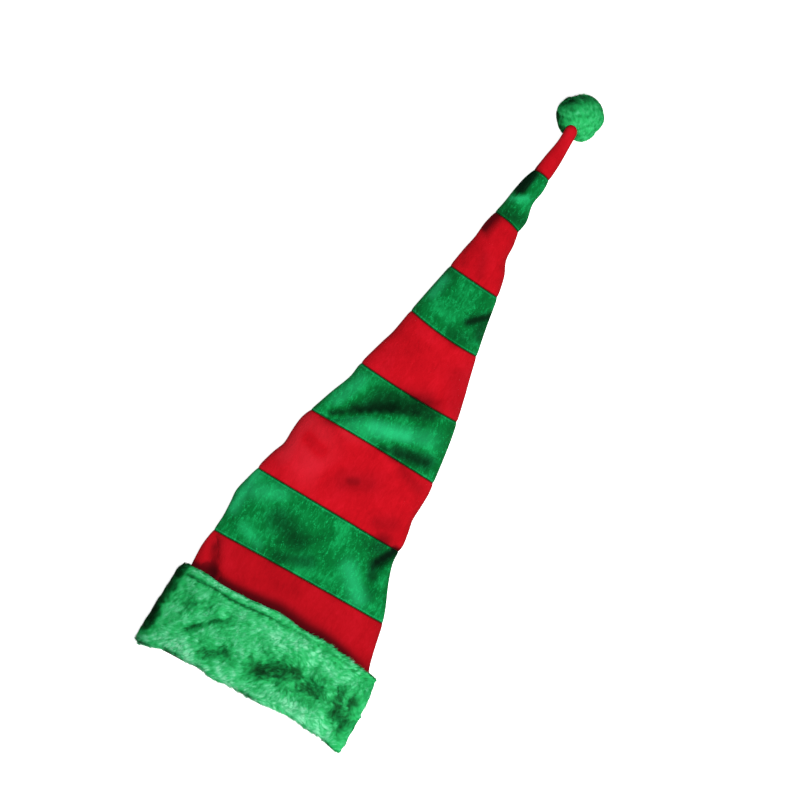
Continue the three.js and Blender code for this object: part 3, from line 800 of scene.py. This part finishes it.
def pile_tree():
    tree = bpy.data.node_groups.new("grow_pile", "GeometryNodeTree")
    sockets = tree.interface
    sockets.new_socket("Base", in_out="INPUT", socket_type="NodeSocketGeometry")
    for name, value in [("Density", 1.0), ("Length", 0.01), ("Thickness", 0.001), ("Lean", 1.0),
                        ("Tuft Size", 0.005), ("Tuft Pull", 1.0), ("Jitter", 0.2)]:
        sockets.new_socket(name, in_out="INPUT", socket_type="NodeSocketFloat").default_value = value
    sockets.new_socket("Seed", in_out="INPUT", socket_type="NodeSocketInt")
    sockets.new_socket("Material", in_out="INPUT", socket_type="NodeSocketMaterial")
    sockets.new_socket("Pile", in_out="OUTPUT", socket_type="NodeSocketGeometry")
    given = add(tree, "NodeGroupInput").outputs

    density = maths(tree, "MULTIPLY", given["Density"], stored(tree, "growth"))
    roots = add(tree, "GeometryNodeDistributePointsOnFaces", {
        "Mesh": given["Base"], "Density": density, "Seed": given["Seed"],
    })
    place = add(tree, "GeometryNodeInputPosition").outputs[0]
    tuft_scale = maths(tree, "DIVIDE", 1.0, given["Tuft Size"])
    tufts = add(tree, "ShaderNodeTexVoronoi", {"Vector": place, "Scale": tuft_scale})
    to_tuft = arrows(tree, "SUBTRACT", tufts.outputs["Position"], place)
    wild = stored(tree, "wild")
    wild_pull = maths(tree, "MULTIPLY", given["Tuft Pull"], wild)
    wild_jitter = maths(tree, "MULTIPLY", given["Jitter"], wild)
    pulled = arrows(tree, "SCALE", to_tuft, maths(tree, "DIVIDE", wild_pull, given["Tuft Size"]))
    leaning = arrows(tree, "SCALE", stored(tree, "nap", "FLOAT_VECTOR"), given["Lean"])
    stray = add(tree, "FunctionNodeRandomValue", {
        "Min": (-1, -1, -1), "Max": (1, 1, 1), "Seed": given["Seed"],
    }, data_type="FLOAT_VECTOR").outputs[0]
    strayed = arrows(tree, "SCALE", stray, wild_jitter)
    heading = roots.outputs["Normal"]
    for part in (leaning, pulled, strayed):
        heading = arrows(tree, "ADD", heading, part)

    corner = add(tree, "GeometryNodeMeshCircle", {"Vertices": 3, "Radius": 1.0}, fill_type="NGON")
    blade = add(tree, "GeometryNodeTransform", {
        "Geometry": corner.outputs[0], "Translation": (0, 0, 1 / 3),
        "Rotation": (0, -math.pi / 2, 0), "Scale": (2 / 3, 1.15, 1),
    })
    height = add(tree, "ShaderNodeSeparateXYZ", {0: place}).outputs["Z"]
    marked = add(tree, "GeometryNodeStoreNamedAttribute", {
        "Geometry": blade.outputs[0], "Name": "blade_height", "Value": height,
    }, data_type="FLOAT", domain="POINT")
    facing = arrows(tree, "ADD", roots.outputs["Normal"], stray)
    turn = add(tree, "FunctionNodeAxesToRotation", {
        0: heading, 1: facing,
    }, primary_axis="Z", secondary_axis="X")
    uneven = add(tree, "FunctionNodeRandomValue", {
        2: SHORTEST_BLADE, 3: LONGEST_BLADE, "Seed": given["Seed"],
    }, data_type="FLOAT")
    own = maths(tree, "MULTIPLY", given["Length"], uneven.outputs[1])
    length = maths(tree, "MULTIPLY", own, stored(tree, "tall"))
    size = add(tree, "ShaderNodeCombineXYZ", {
        "X": given["Thickness"], "Y": given["Thickness"], "Z": length,
    })
    tuft_tone = add(tree, "ShaderNodeSeparateXYZ", {0: tufts.outputs["Color"]}).outputs[0]
    own_tone = add(tree, "FunctionNodeRandomValue", {
        2: 0.0, 3: 1.0, "Seed": given["Seed"],
    }, data_type="FLOAT")
    tone = add(tree, "ShaderNodeMix", {
        "Factor": 0.5, 2: own_tone.outputs[1], 3: tuft_tone,
    }, data_type="FLOAT")
    toned = add(tree, "GeometryNodeStoreNamedAttribute", {
        "Geometry": roots.outputs["Points"], "Name": "tone", "Value": tone.outputs[0],
    }, data_type="FLOAT", domain="POINT")
    blades = add(tree, "GeometryNodeInstanceOnPoints", {
        "Points": toned.outputs[0], "Instance": marked.outputs[0],
        "Rotation": turn.outputs[0], "Scale": size.outputs[0],
    })
    real = add(tree, "GeometryNodeRealizeInstances", {"Geometry": blades.outputs[0]})
    finished = add(tree, "GeometryNodeSetMaterial", {
        "Geometry": real.outputs[0], "Material": given["Material"],
    })
    add(tree, "NodeGroupOutput", {"Pile": finished.outputs[0]})
    return tree


grow_pile = pile_tree()
print("nodes in the pile tree:", len(grow_pile.nodes))

# %% Growing pile on a base
PRESSED_ROOM = 2.5


def grow(name, base, material, sizes):
    """A plain mesh of pile fibres on a base, whose tips are pressed flat where they meet the floor."""
    holder = new_object(name, base.data.copy())
    modifier = holder.modifiers.new("pile", "NODES")
    modifier.node_group = grow_pile
    for item in grow_pile.interface.items_tree:
        if item.name in sizes:
            modifier[item.identifier] = sizes[item.name]
        if item.name == "Material":
            modifier[item.identifier] = material
    bpy.context.view_layer.update()
    mesh = bpy.data.meshes.new_from_object(holder.evaluated_get(bpy.context.evaluated_depsgraph_get()))
    bpy.data.objects.remove(holder)
    mesh.name = name
    piece = new_object(name, mesh)
    points = read_points(piece, "co")
    z = points[2::3] / MM
    pressed = PRESSED_ROOM * np.exp(np.minimum(z - PRESSED_ROOM, 0) / PRESSED_ROOM)
    points[2::3] = np.where(z < PRESSED_ROOM, pressed, z) * MM
    mesh.vertices.foreach_set("co", points)
    mesh.update()
    return piece


# %% Plush
# Deep polyester plush: each fibre is a shiny thread, dark at its root, where little light gets in,
# and light at its tip. The fibres differ in tone, because each tuft leans its own way. Light also
# passes from fibre to fibre, so a tuft is lit more like the ground that it stands on than like its
# single blades: the shading normal is mixed from both.
TONE_SPREAD = 0.34
ROOT_SHARE = 0.5
GROUND_SHARE = 0.72
# The colour that the plush turns towards where its level is below zero: painted shade.
PLUSH_PAINTED_SHADE = (0, 0.004, 0.001, 1)  # linear light


def plush(name, root, dark, mid, light, bright):
    material = new_material(name)
    tree = material.node_tree
    spread = add(tree, "ShaderNodeMapRange", {
        "Value": painted(tree, "tone"), "To Min": -TONE_SPREAD, "To Max": TONE_SPREAD,
    })
    calmed = maths(tree, "MULTIPLY", spread.outputs[0], painted(tree, "wild"))
    level = maths(tree, "ADD", painted(tree, "shade"), calmed)
    as_seen = maths(tree, "POWER", maths(tree, "ADD", level, 1.0, use_clamp=True), SEEN_POWER)
    tint = add(tree, "ShaderNodeValToRGB", {0: level})
    ramp = tint.color_ramp
    ramp.elements[0].color = linear(dark)
    ramp.elements[1].color = linear(bright)
    ramp.elements.new(0.4).color = linear(mid)
    ramp.elements.new(0.7).color = linear(light)
    rise = add(tree, "ShaderNodeMapRange", {
        "Value": painted(tree, "blade_height"), "From Max": ROOT_SHARE,
    })
    risen = blend(tree, rise.outputs[0], linear(root), tint.outputs[0])
    colour = blend(tree, as_seen, PLUSH_PAINTED_SHADE, risen)
    ground = add(tree, "ShaderNodeAttribute", attribute_name="ground_normal").outputs["Vector"]
    facing = arrows(tree, "SCALE", ground, GROUND_SHARE)
    own = add(tree, "ShaderNodeNewGeometry").outputs["Normal"]
    mixed = arrows(tree, "ADD", facing, arrows(tree, "SCALE", own, 1 - GROUND_SHARE))
    normal = add(tree, "ShaderNodeVectorMath", {0: mixed}, operation="NORMALIZE")
    fibre = add(tree, "ShaderNodeBsdfPrincipled", {
        "Base Color": colour, "Roughness": 0.65, "Specular IOR Level": 0.07,
        "Sheen Weight": 0.12, "Sheen Roughness": 0.4, "Sheen Tint": linear(light),
        "Normal": normal.outputs[0],
    })
    add(tree, "ShaderNodeOutputMaterial", {"Surface": fibre.outputs[0]})
    return material


def backing(name, dark, light):
    """The knitted ground of the plush, seen only deep between the fibres."""
    material = new_material(name)
    tree = material.node_tree
    place = add(tree, "ShaderNodeTexCoord").outputs["Object"]
    knit = add(tree, "ShaderNodeTexNoise", {"Vector": place, "Scale": per_metre(3), "Detail": 3})
    shade = blend(tree, knit.outputs[0], linear(dark), linear(light))
    bump = add(tree, "ShaderNodeBump", {"Height": knit.outputs[0], "Strength": 0.6, "Distance": MM})
    ground = add(tree, "ShaderNodeBsdfPrincipled", {
        "Base Color": shade, "Roughness": 0.95, "Specular IOR Level": 0.1,
        "Normal": bump.outputs[0],
    })
    add(tree, "ShaderNodeOutputMaterial", {"Surface": ground.outputs[0]})
    return material


green_plush = plush("green_plush_fibres", "#1c9850", "#046028", "#24b860", "#52cd8a", "#8ae8b4")
plush_ground = backing("green_plush_ground", "#128040", "#209a56")
print("materials:", green_plush.name, plush_ground.name)

# %% [markdown]
# ## The turned-up cuff
# The real cuff is a folded band of plush, sewn to the mouth and turned up. Its upper edge is a
# rolled hem with a sewn groove below it. The base here is that band without its pile: a closed ring
# whose section is a smooth path through a few points. It is creased and pressed where the real
# one is, and each of its points knows which way the pile lies there.

# %% Section of the cuff
PILE_ROOM = 3.4
BAND = [
    (0.04, 0.0), (0.0, 0.12), (-0.015, 0.45), (0.0, 0.78), (0.05, 0.96), (0.2, 1.0), (0.5, 1.0),
    (0.8, 1.0), (0.94, 0.99), (0.995, 0.8), (1.0, 0.35), (0.97, 0.0),
]


def smooth_path(points, steps):
    """A smooth path through points, with `steps` steps from each to the next."""
    points = np.array(points, float)
    ends = np.vstack([2 * points[0] - points[1], points, 2 * points[-1] - points[-2]])
    t = np.linspace(0, 1, steps, endpoint=False)[:, None]
    path = []
    for a, b, c, d in zip(ends, ends[1:], ends[2:], ends[3:]):
        path.append(b + (c - a) / 2 * t + (a - 2.5 * b + 2 * c - d / 2) * t**2
                    + (1.5 * (b - c) + (d - a) / 2) * t**3)
    return np.vstack([*path, points[-1:]])


section = smooth_path(BAND, 9) * [CUFF_DEPTH, CUFF_PLUSH]
heading = np.gradient(section, axis=0)
heading /= np.linalg.norm(heading, axis=1, keepdims=True)
outer_share = smoothstep(section[:, 1], 0, CUFF_PLUSH * 0.4)[:, None]
section = section + np.stack([heading[:, 1], -heading[:, 0]], axis=1) * PILE_ROOM * outer_share
print("points of the cuff's section:", len(section))

# %% The cuff's base
CUFF_TURNS = turns(300, 110)
GROOVE_PLACE = 0.885
GROOVE_DRIFT = 0.035
GROOVE_WIDTH = 2.6
NAP_TURN = math.radians(-59.5)  # the pile lies across the photograph, in the hat's own frame
UNDER_GROWTH = 0.3  # the pile is thin where the cuff lies on it


def in_groove_at(x, y):
    """How deep a place lies in the groove below the hem, from 0 to 1."""
    leftness = smoothstep(y, -60, 60)
    place = CUFF_DEPTH * (GROOVE_PLACE + GROOVE_DRIFT * (1 - leftness))
    depth = (0.2 + 0.8 * leftness) * (1 - smoothstep(y, 130, 142))
    return depth * np.exp(-(((x - place) / GROOVE_WIDTH) ** 2))


def cuff_surface():
    at = place_of(section[:, 0])
    up = np.clip(np.sin(CUFF_TURNS), 0, 1)[None, :]
    loose = np.minimum(up * 4, 1) * outer_share
    out = PIECE_GAP + section[:, 1:] * np.ones_like(up)
    flat = crown_points(at, CUFF_TURNS, 0, False)
    x, y = flat[..., 0], flat[..., 1]
    out = out - loose * HEM_GROOVE * in_groove_at(section[:, :1], y)
    out = out + loose * (0.9 * ripples(x, y, 45, 21) + 0.45 * ripples(x, y, 17, 22))
    points = crown_points(at, CUFF_TURNS, out, False)
    points[..., 0] += edge_shift(points[..., 0].copy(), points[..., 1])
    at_place = (CUFF_DEPTH, CUFF_PLUSH, points[..., 0].copy(), points[..., 1].copy())
    points[..., 2] += loose * fold_heights(CUFF_DENTS, *at_place).sum(axis=0)
    points[..., 2] += loose * union(fold_heights(CUFF_CREASES, *at_place))
    return points


cuff_points = cuff_surface()
cuff = shell("cuff_band", cuff_points)
cuff.data.materials.append(plush_ground)
print("cuff base:", triangles(cuff), "triangles")

# %% Which way the cuff's pile lies
def along_surface(arrows, normals):
    """Arrows turned into the surface, one long at most, so that they fade where they part."""
    flat = arrows - normals * (arrows * normals).sum(axis=1, keepdims=True)
    return flat / np.maximum(np.linalg.norm(flat, axis=1, keepdims=True), 0.4)


def softened(normals, share):
    """Normals turned up a little: light passes through loose pile, so its far side isn't dark."""
    turned = normals + [0, 0, share]
    return turned / np.linalg.norm(turned, axis=1, keepdims=True)


def streaks(x, y, turn, length, width, seed):
    """Long thin waves that lie along one direction and bend a little."""
    along = x * math.cos(turn) + y * math.sin(turn)
    aside = y * math.cos(turn) - x * math.sin(turn) + 0.3 * length * ripples(x, y, 3 * length, seed)
    return ripples(along * width / length, aside, width, seed + 1, 24)


CUFF_TONE = 0.47  # tone of the pile, where 0 is dark and 1 is bright
# Painted shade: in the groove below the hem, and on the far left end, which faces away from the light.
GROOVE_DARKER = 0.8
FAR_LEFT_DARKER = 0.95  # away from the light
STRIP_DARKER = 0.12
x, y, z = (cuff_points[..., axis].ravel() for axis in range(3))
normals = read_points(cuff, "normal").reshape(-1, 3)
curl = 0.35 + 0.9 * smoothstep(-y, -20, 90)
waves = 0.9 * ripples(x, y, 55, 31) + 0.5 * ripples(x, y, 22, 32)
turn = NAP_TURN + 0.35 * smoothstep(y, -60, 60) + curl * waves
lie = np.stack([np.cos(turn), np.sin(turn), 0 * turn], axis=1)
unbent_x = np.repeat(section[:, 0], len(CUFF_TURNS))
at_hem = smoothstep(unbent_x, CUFF_DEPTH * 0.88, CUFF_DEPTH * 0.96)[:, None]
lie = lie * (1 - at_hem) + at_hem * np.array([0.45, -0.9, 0])
mark(cuff, "nap", along_surface(lie, normals))
mark(cuff, "ground_normal", softened(normals, 0.3))
outside = np.repeat(outer_share[:, 0], len(CUFF_TURNS))
on_top = smoothstep(z, 6, 14)
mark(cuff, "growth", smoothstep(outside, 0.15, 0.6) * (UNDER_GROWTH + (1 - UNDER_GROWTH) * on_top))
in_groove = in_groove_at(unbent_x, y)
left_hem = at_hem[:, 0] * smoothstep(y, -60, 40)
strip = smoothstep(-y, 121, 128)
ends = strip + smoothstep(y, 128, 140)
swirls = 0.75 + 0.4 * smoothstep(-y, -40, 60)
mark(cuff, "wild", np.clip(swirls * (1 - 0.8 * ends - 0.6 * left_hem), 0.15, 1.2))
tall = 0.95 + 0.15 * ripples(x, y, 20, 33)
mark(cuff, "tall", tall - 0.65 * in_groove - 0.4 * left_hem - 0.3 * strip)
shade = CUFF_TONE + union(fold_heights(CUFF_NAP_AND_PAINTED_SHADING, CUFF_DEPTH, 1, x, y))
# Painted shade in the groove, and the left end of the hem a little lighter.
shade = shade - GROOVE_DARKER * in_groove + 0.2 * left_hem
far_left = smoothstep(y + 6 * at_hem[:, 0] + 1.5 * ripples(x, y, 16, 36), 135, 148)
far_left *= smoothstep(x, -9, 8) * (0.15 + 0.85 * smoothstep(z, 14, 28))
# Painted shade on the far left end, a little darker on the right end's strip, and painted light along the
# mouth's edge.
shade = shade - FAR_LEFT_DARKER * far_left - STRIP_DARKER * strip + 0.2 * (1 - smoothstep(x, 3, 14))
shade = shade + 0.1 * ripples(x, y, 28, 34) + 0.17 * streaks(x, y, NAP_TURN, 12, 3.5, 35)
mark(cuff, "shade", np.clip(shade, -1, 1))

# %% The cuff's pile
CUFF_PILE = {
    "Density": 3.9e6, "Length": 6.5 * MM, "Thickness": 0.32 * MM, "Lean": 1.6,
    "Tuft Size": 4.2 * MM, "Tuft Pull": 0.9, "Jitter": 0.5, "Seed": 5,
}
cuff_pile = grow("cuff_pile", cuff, green_plush, CUFF_PILE)
print("cuff pile:", triangles(cuff_pile), "triangles")

# %% [markdown]
# ## The pompom
# A ball of the same plush, sewn to the tip. It is a little flat on the side that it was pressed on,
# and the cloth tip lies in a dip on top of it. The base is a ball whose radius is worked out for
# each direction: it stops short of the tip, so that the tip has room.

# %% The pompom's base
POMPOM_PILE = 4.2
POMPOM_SHIFT = np.array([-0.2, -1.3, -0.8])  # where the photograph shows it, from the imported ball
POMPOM_MIDDLE = [SEAMS[-1] + POMPOM_SET * POMPOM_DIAMETER, 0, POMPOM_DIAMETER / 2] + POMPOM_SHIFT
PRESSED_SIDES = np.array([[-0.16, -0.99, 0], [0.6, 0.8, 0], [0, 0, -1], [0.2, 0.98, 0]])
PRESSED_BY = [0.09, 0.19, 0.07, -0.1]  # parts of the radius; the last side bulges
TIP_CLEARANCE = 0.6
BALL_ROWS, BALL_COLUMNS = 90, 150
BALL_HALF = 30
BALL_NAP = [-0.68, -0.73, 0]  # brushed one way, so that the pile parts only at the ball's sides
POMPOM_TONE = 0.34
# Painted shade on the ball's edges that face away from the light, and a painted shadow of the cloth tip
# beside it.
LEFT_DARKER = 0.75
FAR_DARKER = 0.7
UNDER_TIP_DARKER = 0.7


def ball_ripples(direction, slant, size, seed):
    """Ripples on the ball, for directions from its middle."""
    across = direction[:, 1] * BALL_HALF + slant * direction[:, 2]
    return ripples(direction[:, 0] * BALL_HALF, across, size, seed)


def ball_radius(direction):
    pressed = np.clip(direction @ PRESSED_SIDES.T, 0, 1) ** 6 @ PRESSED_BY
    lumps = ball_ripples(direction, 17, 26, 41)
    return (POMPOM_DIAMETER / 2) * (1.01 - pressed) + 0.5 * lumps - POMPOM_PILE * 0.5


def clear_of_tip(direction, radius):
    """Shortens the ball's radius where the cloth tip lies in the ball."""
    at = np.linspace(len(PANELS) - 1 + 0.45, len(PANELS), 24)
    rings = crown_points(at, turns(8, 8))
    axis = rings.mean(axis=1)
    reach = np.abs(rings - axis[:, None]).max(axis=(1, 2)) + TIP_CLEARANCE
    steps = np.linspace(0.3, 1, 60)
    free = np.ones(len(direction), bool)
    best = radius * steps[0]
    for step in steps:
        point = POMPOM_MIDDLE + direction * (radius * step)[:, None]
        away = np.linalg.norm(point[:, None] - axis[None], axis=2)
        free &= (away > reach[None]).all(axis=1)
        best = np.where(free, radius * step, best)
    return best


polar = np.linspace(0, math.pi, BALL_ROWS + 2)[1:-1, None]
round_it = np.linspace(0, 2 * math.pi, BALL_COLUMNS, endpoint=False)[None, :]
ball = np.stack(np.broadcast_arrays(
    -np.cos(polar), np.sin(polar) * np.cos(round_it), np.sin(polar) * np.sin(round_it)), axis=-1)
directions = np.vstack([ball.reshape(-1, 3), [[-1, 0, 0], [1, 0, 0]]])
full = ball_radius(directions)
cut = clear_of_tip(directions, full)
ball_points = POMPOM_MIDDLE + directions * cut[:, None]
pompom = shell("pompom_ball", ball_points[:-2].reshape(BALL_ROWS, BALL_COLUMNS, 3),
               ball_points[-2], ball_points[-1])
pompom.data.materials.append(plush_ground)
normals = read_points(pompom, "normal").reshape(-1, 3)
wander = np.stack([ball_ripples(directions, 40, 18, seed) for seed in (42, 43, 44)], axis=1)
to_tip = crown_points([len(PANELS)], [0])[0, 0] - ball_points
near_tip = np.exp(-((np.linalg.norm(to_tip, axis=1) / 12) ** 2))[:, None]
to_tip /= np.linalg.norm(to_tip, axis=1, keepdims=True)
lie = along_surface(BALL_NAP + 0.3 * wander, normals)
mark(pompom, "nap", lie * (1 - near_tip) + 1.6 * near_tip * to_tip)
mark(pompom, "growth", smoothstep(cut / full, 0.8, 0.93))
mark(pompom, "tall", np.ones(len(directions)))
mark(pompom, "wild", np.full(len(directions), 0.6))
shade = POMPOM_TONE + 0.12 * ball_ripples(directions, 25, 9, 45)
left_edge = smoothstep(directions @ [-0.51, 0.86, 0], 0.86, 0.99)  # away from the light
far_edge = smoothstep(directions @ [0.6, 0.8, 0], 0.88, 0.99)
above_middle = smoothstep(directions[:, 2], -0.25, 0.25)
# Painted shadow that the cloth tip casts into the pile beside it.
beside_tip = np.array([SEAMS[-1] - 3, 13, 34])
under_tip = np.exp(-((np.linalg.norm(ball_points - beside_tip, axis=1) / 11) ** 2))
at_edges = np.maximum(LEFT_DARKER * left_edge, FAR_DARKER * far_edge) * above_middle
shade = shade - np.maximum(at_edges, UNDER_TIP_DARKER * under_tip)
mark(pompom, "shade", np.clip(shade, -1, 1))
mark(pompom, "ground_normal", softened(normals, 0.9))
print("pompom base:", triangles(pompom), "triangles")

# %% The pompom's pile
POMPOM_PILE_SIZES = {
    "Density": 7.5e6, "Length": 1.2 * POMPOM_PILE * MM, "Thickness": 0.32 * MM, "Lean": 2.2,
    "Tuft Size": 3.2 * MM, "Tuft Pull": 0.6, "Jitter": 0.5, "Seed": 6,
}
pompom_pile = grow("pompom_pile", pompom, green_plush, POMPOM_PILE_SIZES)
print("pompom pile:", triangles(pompom_pile), "triangles")

# %% [markdown]
# ## Pieces on the body
# Every piece rides on the part's one body, and the imported node that it covers is hidden. The
# rings are sheets of cloth, cut flat and sewn into rings, and the cuff and the pompom are padded.

# %% Hand the pieces to the frame
BODY = next(iter(frame["bodies"]))
for index, piece in enumerate(cloth):
    node = PANELS[index][0]
    width, length, area = flat_cut(index)
    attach(piece, BODY)
    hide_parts(node)
for piece, node in [(cuff, "cuff"), (cuff_pile, "cuff"), (pompom, "pompom"), (pompom_pile, "pompom")]:
    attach(piece, BODY)
    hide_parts(node)

# %% [markdown]
# ## Floor, light and camera
# The photograph looks straight down on a white ground, with one broad light high up, a little to
# the right and towards the mouth, so only the hat's left edges are dark. The floor is not seen by
# the hat's diffuse light, or a white floor would fill those dark edges.

# %% Floor
FLOOR_HALF = 6.0
floor_mesh = bpy.data.meshes.new("floor")
floor_mesh.from_pydata(
    [(-FLOOR_HALF, -FLOOR_HALF, 0), (FLOOR_HALF, -FLOOR_HALF, 0), (FLOOR_HALF, FLOOR_HALF, 0),
     (-FLOOR_HALF, FLOOR_HALF, 0)], [], [(0, 1, 2, 3)])
floor = new_object("floor", floor_mesh)
floor.location.z = -0.3 * MM
floor.visible_diffuse = False
paper = new_material("white_paper")
add(paper.node_tree, "ShaderNodeOutputMaterial", {
    "Surface": add(paper.node_tree, "ShaderNodeBsdfPrincipled", {
        "Base Color": (0.8, 0.8, 0.8, 1), "Roughness": 0.9, "Specular IOR Level": 0.1,
        "Emission Color": (1, 1, 1, 1), "Emission Strength": 0.86,
    }).outputs[0],
})
floor.data.materials.append(paper)

# %% Light
VIEW_CENTRE = np.array([-9.4, 12.3, 22]) * MM
KEY_TOWARDS = np.array([-0.33, -0.94, 3.4])
KEY_DISTANCE = 2.6

key = bpy.data.lights.new("key", "AREA")
key.size = 0.9
key.energy = 98
key_light = new_object("key", key)
key_light.location = VIEW_CENTRE + KEY_TOWARDS / np.linalg.norm(KEY_TOWARDS) * KEY_DISTANCE
key_light.rotation_euler = Vector(KEY_TOWARDS).to_track_quat("Z", "Y").to_euler()

world = bpy.data.worlds.new("studio")
bpy.context.scene.world = world
world.use_nodes = True
world.node_tree.nodes["Background"].inputs["Color"].default_value = (1, 1, 1, 1)
world.node_tree.nodes["Background"].inputs["Strength"].default_value = 0.28
bpy.context.scene.view_settings.view_transform = "Standard"

# %% Camera
VIEW_WIDTH = 1016.8 * MM
VIEW_TURN = math.radians(-59.5)
CAMERA_HEIGHT = 4.0

lens = bpy.data.cameras.new("camera")
lens.sensor_width = 36
lens.lens = lens.sensor_width * CAMERA_HEIGHT / VIEW_WIDTH
camera = new_object("camera", lens)
camera.location = (VIEW_CENTRE[0], VIEW_CENTRE[1], VIEW_CENTRE[2] + CAMERA_HEIGHT)
camera.rotation_euler = (0, 0, VIEW_TURN)
bpy.context.scene.camera = camera
print("lens, mm:", round(lens.lens, 1))
